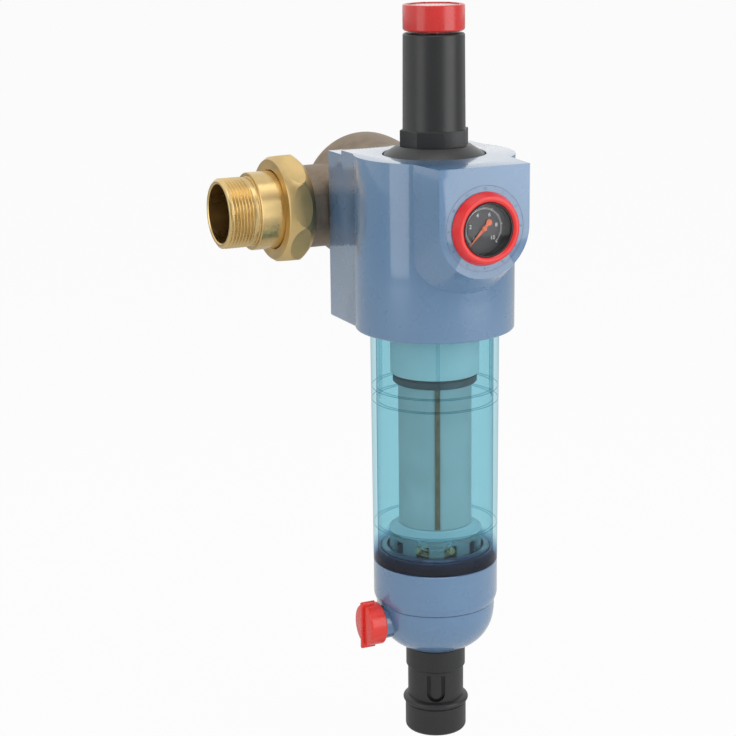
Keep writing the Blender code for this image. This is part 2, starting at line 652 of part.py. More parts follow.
def housing():
    """Blue body: round front, flat-sided rear block with a lower back plate, and the gauge boss."""
    blue = finish("housing_blue", BLUE, 0.3)
    body = extruded("housing", body_outline(), HOUSING_BOTTOM, HOUSING_TOP, blue, MAIN_AXIS)
    join(body, gauge_boss())
    side = BLOCK_HALF_WIDTH + 0.01
    step = box("back_step", (-side, BLOCK_REACH - BLOCK_STEP_DEPTH, HOUSING_TOP - BLOCK_STEP),
               (side, BLOCK_REACH + 0.01, HOUSING_TOP + 0.01), None, MAIN_AXIS)
    cut(body, step)
    edge = body.modifiers.new("edge", "BEVEL")
    edge.width = HOUSING_EDGE
    edge.segments = 2
    edge.limit_method = "ANGLE"
    edge.angle_limit = math.radians(75)
    gauge_back = BOSS_REACH + GAUGE_STAND - GAUGE_BODY_DEPTH - SEAT_GAP
    seat = GAUGE_BODY_RADIUS + SEAT_GAP
    stem = GAUGE_STEM_RADIUS + SEAT_GAP
    outline = [(0, REGULATOR_BORE * 0.5), (stem, REGULATOR_BORE * 0.5), (stem, gauge_back),
               (seat, gauge_back), (seat, BOSS_REACH + 0.01), (0, BOSS_REACH + 0.01)]
    gauge_seat = turned("gauge_seat", outline, None, at_height(GAUGE_LEVEL), TO_FRONT, 28)
    inlet = turned("housing_inlet", rod(PORT_RADIUS, INLET_DISTANCE, BLOCK_REACH + 0.01), None,
                   at_height(0), TO_BACK, 24)
    drop = turned("inlet_drop", rod(PORT_RADIUS, CHAMBER_CEILING - 0.003, PORT_RADIUS * 0.5), None,
                  (0, INLET_DISTANCE - AXIS_DISTANCE, 0), steps=24)
    cut(body, main_bores(), gauge_seat, inlet, drop)
    outlet_height = (CARTRIDGE_TOP + DIAPHRAGM_LEDGE) / 2
    ring_middle = (PORT_RING_INNER + PORT_RING_OUTER) / 2
    outlet_side = math.sqrt(ring_middle ** 2 - outlet_height ** 2)
    outlet = turned("housing_outlet", rod(OUTLET_PORT_RADIUS, 0, BLOCK_REACH + 0.01), None,
                    (outlet_side, -AXIS_DISTANCE, outlet_height), TO_BACK, 16)
    cut(body, outlet)
    for index, (x, z) in enumerate(screw_places()):
        hole = turned(f"housing_hole_{index}", rod(SCREW_RADIUS + SEAT_GAP, -0.01, SCREW_DEPTH + 0.002),
                      None, (x, BLOCK_BACK, z), TO_FRONT, 10)
        cut(body, hole)


def collar_outline():
    """Eight corners joined by shallow hollow sides."""
    points = []
    sides = 8
    steps = 4
    for side in range(sides):
        first = math.radians(COLLAR_TURN + 360 * side / sides)
        second = math.radians(COLLAR_TURN + 360 * (side + 1) / sides)
        middle = (first + second) / 2
        for step in range(steps):
            share = step / steps
            dip = COLLAR_HOLLOW * 4 * share * (1 - share)
            x = COLLAR_RADIUS * ((1 - share) * math.cos(first) + share * math.cos(second))
            y = COLLAR_RADIUS * ((1 - share) * math.sin(first) + share * math.sin(second))
            points.append((x - dip * math.cos(middle), y - dip * math.sin(middle)))
    return points


def bonnet():
    """Black spring bonnet: threaded skirt, conical foot, eight-sided collar and long barrel."""
    bore = SPINDLE_RADIUS + RUNNING_GAP
    outline = [(SPRING_CHAMBER, SKIRT_BOTTOM), (SKIRT_RADIUS, SKIRT_BOTTOM), (SKIRT_RADIUS, BONNET_SEAT),
               (BONNET_FLANGE_RADIUS, BONNET_SEAT), (BONNET_FLANGE_RADIUS, HOUSING_TOP),
               (BONNET_CONE_TOP, COLLAR_BOTTOM), (BARREL_FOOT_RADIUS, COLLAR_BOTTOM),
               (BARREL_TOP_RADIUS, BONNET_TOP - BARREL_CHAMFER),
               (BARREL_TOP_RADIUS - BARREL_CHAMFER, BONNET_TOP), (bore, BONNET_TOP),
               (bore, CROWN_BOTTOM), (SPRING_CHAMBER, CROWN_BOTTOM)]
    body = turned("bonnet", outline, finish("bonnet_black", BLACK, 0.4), MAIN_AXIS, steps=28)
    flats = extruded("collar_flats", collar_outline(), COLLAR_BOTTOM - 0.001, COLLAR_TOP)
    hollow = turned("collar_bore", rod(BARREL_FOOT_RADIUS - 0.001, COLLAR_BOTTOM - 0.01,
                                       COLLAR_TOP + 0.01), steps=32)
    cut(flats, hollow)
    for item in (flats, hollow):
        item.location = MAIN_AXIS
    join(body, flats)


def adjusting_cap():
    """Red cap with a sunk top, a thin skirt and a hub that takes the spindle."""
    inside = CAP_RADIUS - CAP_RIM
    floor = CAP_TOP - CAP_RECESS
    bore = SPINDLE_RADIUS + SEAT_GAP
    outline = [(0, floor), (inside, floor), (inside, CAP_TOP), (CAP_RADIUS - 0.0006, CAP_TOP),
               (CAP_RADIUS, CAP_TOP - 0.0006), (CAP_RADIUS, CAP_BOTTOM + CAP_BEVEL),
               (CAP_RADIUS - CAP_BEVEL, CAP_BOTTOM), (inside, CAP_BOTTOM), (inside, CAP_CEILING),
               (CAP_HUB_RADIUS, CAP_CEILING), (CAP_HUB_RADIUS, CAP_BOTTOM), (bore, CAP_BOTTOM),
               (bore, CAP_CEILING), (0, CAP_CEILING)]
    turned("adjusting_cap", outline, finish("cap_red", RED, 0.4), MAIN_AXIS, steps=28)
    disc = [(0, DISC_BOTTOM), (inside - SEAT_GAP, DISC_BOTTOM),
            (inside - SEAT_GAP, DISC_BOTTOM + DISC_THICKNESS), (0, DISC_BOTTOM + DISC_THICKNESS)]
    turned("cap_disc", disc, finish("disc_cream", (0.75, 0.62, 0.52), 0.35), MAIN_AXIS)


def adjusting_spindle():
    bottom = THREAD_TOP - SPINDLE_THREAD_LENGTH
    outline = [(0, bottom), (SPINDLE_THREAD_RADIUS - 0.001, bottom),
               (SPINDLE_THREAD_RADIUS, bottom + 0.001), (SPINDLE_THREAD_RADIUS, THREAD_TOP),
               (SPINDLE_COLLAR_RADIUS, THREAD_TOP), (SPINDLE_COLLAR_RADIUS, SPINDLE_COLLAR_TOP),
               (SPINDLE_RADIUS, SPINDLE_COLLAR_TOP), (SPINDLE_RADIUS, SPINDLE_TOP), (0, SPINDLE_TOP)]
    turned("adjusting_spindle", outline, finish("spindle_steel", STEEL, 0.3, 1.0), MAIN_AXIS, steps=20)


def spring_plate():
    bore = SPINDLE_THREAD_RADIUS + SEAT_GAP
    lip = SPRING_RADIUS - SPRING_WIRE - 0.001
    outline = [(bore, SPRING_PLATE_BOTTOM - 0.003), (lip, SPRING_PLATE_BOTTOM - 0.003),
               (lip, SPRING_PLATE_BOTTOM), (SPRING_CHAMBER - RUNNING_GAP, SPRING_PLATE_BOTTOM),
               (SPRING_CHAMBER - RUNNING_GAP, SPRING_PLATE_TOP), (bore, SPRING_PLATE_TOP)]
    turned("spring_plate", outline, finish("spring_plate_brass", BRASS, 0.35, 1.0), MAIN_AXIS, steps=20)


def springs():
    wire = finish("spring_wire", STEEL, 0.3, 1.0)
    regulator = coil_mesh(SPRING_RADIUS, SPRING_WIRE, PLATE_TOP + SEAT_GAP,
                          SPRING_PLATE_BOTTOM - SEAT_GAP, SPRING_TURNS)
    make_object("regulator_spring", regulator, wire, MAIN_AXIS)
    back = coil_mesh(RETURN_SPRING_RADIUS, RETURN_SPRING_WIRE, STANDPIPE_TOP + SEAT_GAP,
                     BELL_BOTTOM - SEAT_GAP, RETURN_SPRING_TURNS)
    make_object("return_spring", back, wire, MAIN_AXIS)


def diaphragm():
    hole = VALVE_STEM_RADIUS + SEAT_GAP
    turned("diaphragm", tube(hole, SKIRT_RADIUS - SEAT_GAP, DIAPHRAGM_BOTTOM, DIAPHRAGM_TOP),
           finish("diaphragm_rubber", RUBBER, 0.7), MAIN_AXIS)


def valve_stem():
    """Diaphragm plate, stem and valve disc, turned from one bar."""
    disc_bottom = VALVE_DISC_TOP - VALVE_DISC_HEIGHT
    outline = [(0, disc_bottom), (VALVE_DISC_RADIUS, disc_bottom), (VALVE_DISC_RADIUS, VALVE_DISC_TOP),
               (VALVE_STEM_RADIUS, VALVE_DISC_TOP), (VALVE_STEM_RADIUS, PLATE_BOTTOM),
               (DIAPHRAGM_PLATE_RADIUS, PLATE_BOTTOM), (DIAPHRAGM_PLATE_RADIUS, PLATE_TOP), (0, PLATE_TOP)]
    turned("valve_stem", outline, finish("stem_brass", BRASS, 0.3, 1.0), MAIN_AXIS, steps=20)


def valve_cartridge():
    """Reducer insert: guide web with holes, chamber, seat, and open foot."""
    outer = REGULATOR_BORE - SEAT_GAP
    guide = VALVE_STEM_RADIUS + RUNNING_GAP
    outline = [(guide, CARTRIDGE_TOP), (outer, CARTRIDGE_TOP), (outer, CARTRIDGE_BOTTOM),
               (CARTRIDGE_CHAMBER, CARTRIDGE_BOTTOM), (CARTRIDGE_CHAMBER, SEAT_BOTTOM),
               (VALVE_SEAT_RADIUS, SEAT_BOTTOM), (VALVE_SEAT_RADIUS, SEAT_TOP),
               (CARTRIDGE_CHAMBER, SEAT_TOP), (CARTRIDGE_CHAMBER, CHAMBER_TOP), (guide, CHAMBER_TOP)]
    body = turned("valve_cartridge", outline, finish("cartridge_plastic", (0.55, 0.55, 0.52), 0.5),
                  MAIN_AXIS)
    reach = (guide + CARTRIDGE_CHAMBER) / 2
    for index in range(4):
        angle = math.tau * (index + 0.5) / 4
        hole = turned(f"web_hole_{index}", rod(0.0035, CHAMBER_TOP - 0.002, CARTRIDGE_TOP + 0.002), None,
                      (reach * math.cos(angle), reach * math.sin(angle) - AXIS_DISTANCE, 0), steps=12)
        cut(body, hole)


def gauge():
    """Case with its stem, dial, pointer and lens. Distances run forward from the main axis."""
    front = BOSS_REACH + GAUGE_STAND
    back = front - GAUGE_BODY_DEPTH
    inside = GAUGE_BODY_RADIUS - GAUGE_WALL
    dial_back = front - LENS_THICKNESS - DIAL_DEPTH
    place = at_height(GAUGE_LEVEL)
    outline = [(0, back - GAUGE_STEM_LENGTH), (GAUGE_STEM_RADIUS, back - GAUGE_STEM_LENGTH),
               (GAUGE_STEM_RADIUS, back), (GAUGE_BODY_RADIUS, back), (GAUGE_BODY_RADIUS, front),
               (inside, front), (inside, dial_back), (0, dial_back)]
    turned("gauge_case", outline, finish("case_black", BLACK, 0.5), place, TO_FRONT, 28)
    dial_low = dial_back + SEAT_GAP
    dial_top = dial_low + DIAL_THICKNESS
    turned("gauge_dial", rod(inside - SEAT_GAP, dial_low, dial_top), finish("dial_grey", (0.03, 0.033, 0.04), 0.5),
           place, TO_FRONT, 28)
    lens_low = front - LENS_THICKNESS
    turned("gauge_lens", rod(inside - SEAT_GAP, lens_low, front), finish("lens_clear", (0.9, 0.93, 0.95), 0.05,
           0.0, 0.3), place, TO_FRONT, 28)
    gauge_needle(place, dial_top + SEAT_GAP)


def gauge_needle(place, level):
    """Pointer: round hub, long thin blade and a blunt counterweight, all one piece."""
    orange = finish("needle_orange", (0.85, 0.16, 0.06), 0.45)
    hub = rod(HUB_RADIUS, level, level + 4 * NEEDLE_THICKNESS)
    needle = turned("gauge_needle", hub, orange, place, TO_FRONT, 20)
    low = level + NEEDLE_THICKNESS
    blade = [(NEEDLE_LENGTH, -0.00015), (NEEDLE_LENGTH, 0.00015), (0, 0.0008), (-NEEDLE_TAIL, 0.0007),
             (-NEEDLE_TAIL, -0.0007), (0, -0.0008)]
    turn = (math.radians(90), math.radians(-NEEDLE_ZERO), 0)
    arm = extruded("needle_blade", blade, low, low + NEEDLE_THICKNESS, None, place, turn)
    weight = extruded("needle_weight", arc((-NEEDLE_TAIL, 0), 0.0021, 0, 345, 15), low,
                      low + NEEDLE_THICKNESS, None, place, turn)
    join(needle, arm, weight)


def reminder_ring():
    """Red ring that turns on the gauge case in front of the boss."""
    low = BOSS_REACH + SEAT_GAP
    bore = GAUGE_BODY_RADIUS + RUNNING_GAP
    high = low + RING_DEPTH
    outline = [(bore, low), (RING_ROOT_RADIUS, low), (RING_FACE_RADIUS, high - 0.0005),
               (RING_FACE_RADIUS - 0.0005, high), (bore + 0.0006, high), (bore, high - 0.0012)]
    turned("reminder_ring", outline, finish("ring_red", RED, 0.35), at_height(GAUGE_LEVEL), TO_FRONT, 28)


def bowl_outside(height):
    share = (BOWL_TOP - height) / BOWL_HEIGHT
    return BOWL_TOP_RADIUS + (BOWL_FOOT_RADIUS - BOWL_TOP_RADIUS) * share


def bowl():
    """Clear bowl: slightly tapered wall, two fine grooves at the shoulder, and five inner ribs."""
    wall = [(BOWL_BORE, BOWL_TOP), (BOWL_BORE, BOWL_BOTTOM), (bowl_outside(BOWL_BOTTOM), BOWL_BOTTOM)]
    line = BOWL_BOTTOM + FOOT_LINE_RISE
    shoulder = BOWL_TOP - SHOULDER_DROP
    for height in (line, shoulder, shoulder + 0.0088):
        outside = bowl_outside(height)
        wall += [(outside, height - SHOULDER_WIDTH / 2), (outside - SHOULDER_GROOVE, height),
                 (outside, height + SHOULDER_WIDTH / 2)]
    wall.append((bowl_outside(BOWL_TOP), BOWL_TOP))
    body = turned("bowl", wall, finish("bowl_clear", CLEAR, 0.05, 0.0, 0.3), MAIN_AXIS, steps=28)
    for index in range(RIB_COUNT):
        reach = BOWL_BORE + 0.0008
        start = BOWL_BORE - RIB_HEIGHT
        low = BOWL_TOP - RIB_LENGTH
        half = RIB_WIDTH / 2
        rings = []
        for height, inner, width in ((BOWL_TOP - 0.002, start, half), (low, start, half),
                                     (low - 0.006, BOWL_BORE + 0.0004, half * 0.3)):
            rings.append([(inner, -width, height), (reach, -width, height), (reach, width, height),
                          (inner, width, height)])
        turn = (0, 0, math.radians(RIB_ANGLE + 360 * index / RIB_COUNT))
        join(body, lofted(f"bowl_rib_{index}", rings, None, MAIN_AXIS, turn))


def bowl_seals():
    rubber = finish("seal_rubber", (0.010, 0.016, 0.035), 0.5)
    turned("bowl_seal", tube(BOWL_BORE, BOWL_TOP_RADIUS, BOWL_SEAL_TOP - BOWL_SEAL, BOWL_SEAL_TOP),
           rubber, MAIN_AXIS)
    low = RING_TOP + 0.0022
    turned("base_seal", tube(SPIGOT_RADIUS + SEAT_GAP, BOWL_BORE - SEAT_GAP, low,
                             low + BASE_SEAL_HEIGHT), rubber, MAIN_AXIS, steps=28)


def cage_head():
    """White head over the sleeve: a neck into the reducer bore and a wide open skirt."""
    neck_bore = HEAD_NECK_RADIUS - HEAD_NECK_WALL
    skirt_bore = HEAD_RADIUS - HEAD_WALL
    outline = [(neck_bore, HEAD_TOP), (HEAD_NECK_RADIUS, HEAD_TOP), (HEAD_NECK_RADIUS, HEAD_SHOULDER_TOP),
               (HEAD_RADIUS - 0.0015, HEAD_SHOULDER_TOP), (HEAD_RADIUS, HEAD_SHOULDER_TOP - 0.0015),
               (HEAD_RADIUS, HEAD_BOTTOM), (skirt_bore, HEAD_BOTTOM),
               (skirt_bore, HEAD_SHOULDER_TOP - HEAD_SHOULDER),
               (neck_bore, HEAD_SHOULDER_TOP - HEAD_SHOULDER)]
    turned("cage_head", outline, finish("head_white", WHITE, 0.45), MAIN_AXIS, steps=24)


def filter_insert():
    """The pieces that move down together for backwashing."""
    turned("packing_ring", tube(PACKING_BORE, PACKING_RADIUS, PACKING_BOTTOM, PACKING_TOP),
           finish("packing_grey", (0.05, 0.07, 0.09), 0.6), MAIN_AXIS, steps=28)
    turned("mesh_sleeve", tube(SLEEVE_RADIUS - SLEEVE_WALL, SLEEVE_RADIUS, SLEEVE_BOTTOM, SLEEVE_TOP),
           finish("sleeve_steel", STEEL, 0.45, 0.9), MAIN_AXIS, steps=28)
    half = math.degrees(SEAM_WIDTH / 2 / SLEEVE_RADIUS)
    inner = SLEEVE_RADIUS + SEAT_GAP
    seam = arc((0, 0), inner, SEAM_ANGLE - half, SEAM_ANGLE + half, 4)
    seam += arc((0, 0), inner + SEAM_THICKNESS, SEAM_ANGLE + half, SEAM_ANGLE - half, 4)
    extruded("seam_strip", seam, SLEEVE_BOTTOM + SEAT_GAP, SLEEVE_TOP - SEAT_GAP,
             finish("seam_brown", (0.10, 0.07, 0.04), 0.5, 0.6), MAIN_AXIS)
    bell = [(BELL_BORE, BELL_TOP), (BELL_TOP_RADIUS, BELL_TOP), (BELL_FOOT_RADIUS, BELL_BOTTOM + 0.001),
            (BELL_FOOT_RADIUS, BELL_BOTTOM), (BELL_FOOT_RADIUS - BELL_WEB, BELL_BOTTOM),
            (BELL_TOP_RADIUS - BELL_WEB, BELL_TOP - BELL_WEB), (BELL_BORE, BELL_TOP - BELL_WEB)]
    turned("sleeve_bell", bell, finish("bell_clear", WHITE, 0.3), MAIN_AXIS, steps=24)
    guide_ring()
    jet_rotor()


def guide_ring():
    """Clear castellated ring: a closed rim above and ten legs below."""
    inner = GUIDE_RADIUS - GUIDE_WALL
    ring = turned("guide_ring", tube(inner, GUIDE_RADIUS, GUIDE_BOTTOM, GUIDE_TOP),
                  finish("guide_clear", CLEAR, 0.1, 0.0, 0.4), MAIN_AXIS, steps=40)
    half = GUIDE_WINDOW / 2
    for index in range(GUIDE_LEGS // 2):
        turn = (0, 0, math.radians(SEAM_ANGLE + 360 * index / GUIDE_LEGS))
        window = box(f"guide_window_{index}", (-GUIDE_RADIUS - 0.01, -half, GUIDE_BOTTOM - 0.01),
                     (GUIDE_RADIUS + 0.01, half, GUIDE_TOP - GUIDE_RIM), None, MAIN_AXIS, turn)
        cut(ring, window)


def jet_rotor():
    """Spinning jet pipe: a slim tube with two long blades inside the sleeve."""
    top = SLEEVE_TOP - ROTOR_END_GAP
    bottom = BELL_TOP + SEAT_GAP
    rotor = turned("jet_rotor", tube(ROTOR_BORE, ROTOR_RADIUS, bottom, top),
                   finish("rotor_white", WHITE, 0.4), MAIN_AXIS, steps=20)
    half = ROTOR_BLADE_THICKNESS / 2
    near = (ROTOR_BORE + ROTOR_RADIUS) / 2
    for side in (0, 180):
        blade = box(f"rotor_blade_{side}", (near, -half, bottom + 0.004),
                    (ROTOR_BLADE_REACH, half, top - 0.004), None, MAIN_AXIS,
                    (0, 0, math.radians(side)))
        join(rotor, blade)


def standpipe():
    """Brass pipe on the cup's floor that carries the return spring."""
    foot = CUP_FLOOR + SEAT_GAP
    under = STANDPIPE_TOP - STANDPIPE_FLANGE
    outline = [(STANDPIPE_BORE, foot), (STANDPIPE_RADIUS, foot), (STANDPIPE_RADIUS, under),
               (STANDPIPE_FLANGE_RADIUS, under), (STANDPIPE_FLANGE_RADIUS, STANDPIPE_TOP),
               (STANDPIPE_BORE, STANDPIPE_TOP)]
    turned("standpipe", outline, finish("standpipe_brass", BRASS, 0.35, 1.0), MAIN_AXIS, steps=20)


def bowl_ring():
    """Blue ring under the bowl: a straight rim, a drawn-in foot and the spigot inside the bowl."""
    shoulder = RING_BOTTOM + BOWL_RING_SHOULDER
    rounding = [(BOWL_RING_FOOT_RADIUS + (BOWL_FOOT_RADIUS - BOWL_RING_FOOT_RADIUS)
                 * math.cos(math.radians(a)),
                 shoulder - BOWL_RING_SHOULDER * math.sin(math.radians(a))) for a in range(0, 91, 22)]
    outline = [(SPIGOT_BORE, RING_TOP + SPIGOT_HEIGHT), (SPIGOT_BORE, RING_BOTTOM)]
    outline += list(reversed(rounding))
    outline += [(BOWL_FOOT_RADIUS, RING_TOP), (SPIGOT_RADIUS, RING_TOP),
                (SPIGOT_RADIUS, RING_TOP + SPIGOT_HEIGHT)]
    turned("bowl_ring", outline, finish("ring_blue", BLUE, 0.3), MAIN_AXIS, steps=28)


def cup_outside(height):
    fall = (CUP_TOP - CUP_RIM - height) / CUP_DEPTH
    return CUP_RADIUS * (1 - fall ** CUP_FULLNESS) ** (1 / CUP_FULLNESS)


def cup_bottom():
    narrowing = (CUP_BOTTOM_RADIUS / CUP_RADIUS) ** CUP_FULLNESS
    return CUP_TOP - CUP_RIM - CUP_DEPTH * (1 - narrowing) ** (1 / CUP_FULLNESS)


def drain_cup():
    """Blue cup: full round underside, spigot into the ring, ball chamber, and the knob's boss."""
    bottom = cup_bottom()
    start = CUP_TOP - CUP_RIM
    steps = 7
    side = []
    for index in range(steps + 1):
        height = start - (start - bottom) * math.sin(math.pi / 2 * index / steps)
        side.append((cup_outside(height), height))
    spigot = SPIGOT_BORE - SEAT_GAP
    seat = BALL_SEAT_RADIUS + SEAT_GAP
    outline = [(CUP_CAVITY_RADIUS, CUP_TOP + CUP_SPIGOT_HEIGHT), (spigot, CUP_TOP + CUP_SPIGOT_HEIGHT),
               (spigot, CUP_TOP), (CUP_RADIUS, CUP_TOP)] + side
    outline += [(NOZZLE_SPIGOT_RADIUS + SEAT_GAP, bottom), (NOZZLE_SPIGOT_RADIUS + SEAT_GAP, NOZZLE_SPIGOT_TOP),
                (seat, NOZZLE_SPIGOT_TOP), (seat, VALVE_CEILING), (CUP_THROAT_RADIUS, VALVE_CEILING),
                (CUP_THROAT_RADIUS, CUP_FLOOR), (CUP_CAVITY_RADIUS - CUP_CAVITY_DEPTH, CUP_FLOOR),
                (CUP_CAVITY_RADIUS, CUP_FLOOR + CUP_CAVITY_DEPTH)]
    body = turned("drain_cup", outline, finish("cup_blue", BLUE, 0.3), MAIN_AXIS, steps=28)
    place = at_height(VALVE_LEVEL)
    boss = turned("knob_boss", rod(KNOB_BOSS_RADIUS, CUP_RADIUS * 0.6, KNOB_BOSS_REACH), None, place,
                  ALONG_MINUS_X, 20)
    join(body, boss)
    stem = turned("stem_bore", rod(DRAIN_STEM_RADIUS + SEAT_GAP, BALL_RADIUS * 0.5, KNOB_BOSS_REACH + 0.01),
                  None, place, ALONG_MINUS_X, 20)
    cut(body, stem)


def drain_valve():
    """Ball with its bore across at rest, two seats, the stem and the red knob with its bar."""
    place = at_height(VALVE_LEVEL)
    bm = bmesh.new()
    bmesh.ops.create_uvsphere(bm, u_segments=20, v_segments=12, radius=BALL_RADIUS)
    ball = make_object("drain_ball", bm, finish("ball_chrome", (0.6, 0.6, 0.62), 0.1, 1.0), place)
    cut(ball, turned("ball_bore", rod(BALL_BORE, -0.02, 0.02), None, place, TO_FRONT, 20))
    teflon = finish("seat_white", WHITE, 0.5)
    reach = BALL_RADIUS + SEAT_GAP
    first = math.degrees(math.acos(BALL_SEAT_BORE / reach))
    face = arc((0, 0), reach, first, 25, 4)
    outline = face + [(BALL_SEAT_RADIUS, BALL_SEAT_START + 0.001), (BALL_SEAT_RADIUS, BALL_SEAT_REACH),
                      (BALL_SEAT_BORE, BALL_SEAT_REACH)]
    turned("ball_seat_upper", outline, teflon, place, steps=20)
    turned("ball_seat_lower", outline, teflon, place, (math.pi, 0, 0), steps=20)
    turned("drain_stem", rod(DRAIN_STEM_RADIUS, BALL_RADIUS + SEAT_GAP, BALL_RADIUS + DRAIN_STEM_LENGTH),
           finish("stem_steel", STEEL, 0.3, 1.0), place, ALONG_MINUS_X, 20)
    drain_knob(place)


def drain_knob(place):
    back = KNOB_BOSS_REACH + SEAT_GAP
    face = back + KNOB_LENGTH
    bore = DRAIN_STEM_RADIUS + SEAT_GAP
    bore_end = BALL_RADIUS + DRAIN_STEM_LENGTH + SEAT_GAP
    outline = [(bore, back), (KNOB_RADIUS, back), (KNOB_FACE_RADIUS, face - KNOB_EDGE),
               (KNOB_FACE_RADIUS - KNOB_EDGE, face), (0, face), (0, bore_end), (bore, bore_end)]
    knob = turned("drain_knob", outline, finish("knob_red", RED, 0.4), place, ALONG_MINUS_X, 28)
    end = face + BAR_PROUD
    tip = (end - 0.001, BAR_HALF_LENGTH)
    rings = []
    for side in (-1, 1):
        half = side * BAR_THICKNESS / 2
        rings.append([(-(end - BAR_LENGTH), -BAR_HALF_LENGTH, half), (-tip[0], -tip[1], half),
                      (-end, -BAR_HALF_LENGTH + 0.001, half), (-end, BAR_HALF_LENGTH - 0.001, half),
                      (-tip[0], tip[1], half), (-(end - BAR_LENGTH), BAR_HALF_LENGTH, half)])
    bar = lofted("knob_bar", rings, None, place)
    clear = turned("bar_relief", rod(bore, back - 0.01, bore_end), None, place, ALONG_MINUS_X, 24)
    cut(bar, clear)
    join(knob, bar)


def drain_nozzle():
    """Black outlet: spigot, waisted barrel with a bead, and two slotted spring tongues."""
    top = cup_bottom() - SEAT_GAP
    bottom = top - NOZZLE_LENGTH
    bead = top - NOZZLE_BEAD_DROP
    neck_top = top - NOZZLE_HEAD_LENGTH
    bulge = NOZZLE_BEAD_RADIUS - NOZZLE_NECK_RADIUS
    outline = [(NOZZLE_SPIGOT_BORE, NOZZLE_SPIGOT_TOP), (NOZZLE_SPIGOT_BORE, NOZZLE_SPIGOT_TOP - 0.003),
               (NOZZLE_BORE, top), (NOZZLE_BORE, bottom)]
    outline += arc((NOZZLE_FOOT_RADIUS - NOZZLE_ROUNDING, bottom + NOZZLE_ROUNDING), NOZZLE_ROUNDING,
                   -90, 0, 3)
    outline += [(NOZZLE_FOOT_RADIUS, bead - NOZZLE_BEAD_HEIGHT)]
    outline += [(NOZZLE_NECK_RADIUS + bulge * math.cos(math.radians(a)),
                 bead + NOZZLE_BEAD_HEIGHT * math.sin(math.radians(a))) for a in range(-60, 91, 25)]
    outline += [(NOZZLE_NECK_RADIUS, neck_top - 0.002), (NOZZLE_HEAD_RADIUS, neck_top),
                (NOZZLE_HEAD_RADIUS, top), (NOZZLE_SPIGOT_RADIUS, top),
                (NOZZLE_SPIGOT_RADIUS, NOZZLE_SPIGOT_TOP)]
    body = turned("drain_nozzle", outline, finish("nozzle_black", BLACK, 0.5), MAIN_AXIS, steps=28)
    slot_top = top - SLOT_TOP_DROP
    slot_bottom = slot_top - SLOT_HEIGHT
    outer = TONGUE_WIDTH / 2 + SLOT_WIDTH
    for side in (0, 180):
        turn = (0, 0, math.radians(SLOT_ANGLE + side))
        for index, (low, high, start, end) in enumerate((
                (-outer, -TONGUE_WIDTH / 2, slot_bottom, slot_top),
                (TONGUE_WIDTH / 2, outer, slot_bottom, slot_top),
                (-outer, outer, slot_bottom, slot_bottom + SLOT_WIDTH))):
            tool = box(f"slot_{side}_{index}", (0.010, low, start), (0.030, high, end), None,
                       MAIN_AXIS, turn)
            cut(body, tool)


def main():
    remove_old_objects()
    swivel_flange()
    port_seals()
    flange_screws()
    union("left", ALONG_MINUS_X)
    union("right", ALONG_X)
    housing()
    bonnet()
    adjusting_cap()
    adjusting_spindle()
    spring_plate()
    springs()
    diaphragm()
    valve_stem()
    valve_cartridge()
    gauge()
    reminder_ring()
    bowl()
    bowl_seals()
    cage_head()
    filter_insert()
    standpipe()
    bowl_ring()
    drain_cup()
    drain_valve()
    drain_nozzle()


main()
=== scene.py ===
"""The looks of a backwash water filter with a pressure reducer, hung in a pipe on a swivel flange."""

from math import acos, atan2, cos, degrees, pi, radians, sin, tau

import bmesh
import bpy
from mathutils import Matrix, Vector


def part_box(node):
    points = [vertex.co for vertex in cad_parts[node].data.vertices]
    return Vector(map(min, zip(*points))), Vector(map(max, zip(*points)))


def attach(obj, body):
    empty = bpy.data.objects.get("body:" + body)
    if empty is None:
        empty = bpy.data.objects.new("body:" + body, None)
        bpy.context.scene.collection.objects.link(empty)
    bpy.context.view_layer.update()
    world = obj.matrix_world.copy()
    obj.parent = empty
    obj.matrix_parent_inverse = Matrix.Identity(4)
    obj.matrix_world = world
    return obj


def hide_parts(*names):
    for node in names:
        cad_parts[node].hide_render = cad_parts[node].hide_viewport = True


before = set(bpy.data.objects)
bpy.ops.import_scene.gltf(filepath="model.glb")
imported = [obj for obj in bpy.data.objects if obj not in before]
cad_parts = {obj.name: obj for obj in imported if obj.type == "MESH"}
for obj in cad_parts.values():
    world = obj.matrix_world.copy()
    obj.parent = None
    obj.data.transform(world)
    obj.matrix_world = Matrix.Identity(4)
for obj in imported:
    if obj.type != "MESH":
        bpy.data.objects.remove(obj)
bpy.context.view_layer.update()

MM = 0.001


class Spot:
    """A place in millimetres."""

    def __init__(self, place):
        self.x, self.y, self.z = (part / MM for part in place)


def box(node):
    """Two corners of a node's box."""
    low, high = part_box(node)
    return Spot(low), Spot(high)


def level(node):
    """The top of a node."""
    return box(node)[1].z


def middle(node):
    """The middle of a node's box, in metres."""
    low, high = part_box(node)
    return (low + high) / 2


def half_width(node):
    low, high = box(node)
    return (high.x - low.x) / 2


def span(node):
    """Two corners of a node's box, and half its width."""
    low, high = box(node)
    return low, high, (high.x - low.x) / 2


def turned(angle):
    """A turn about Z, in degrees."""
    return Matrix.Rotation(radians(angle), 4, "Z")


FILTER_PLACE = Vector((0, middle("bowl").y, 0))
GAUGE_PLACE = Vector((0, 0, middle("reminder_ring").z))
KNOB_PLACE = Vector((0, FILTER_PLACE.y, middle("drain_stem").z))
FILTER_AXIS = Spot(FILTER_PLACE)
GAUGE_AXIS = Spot(GAUGE_PLACE)

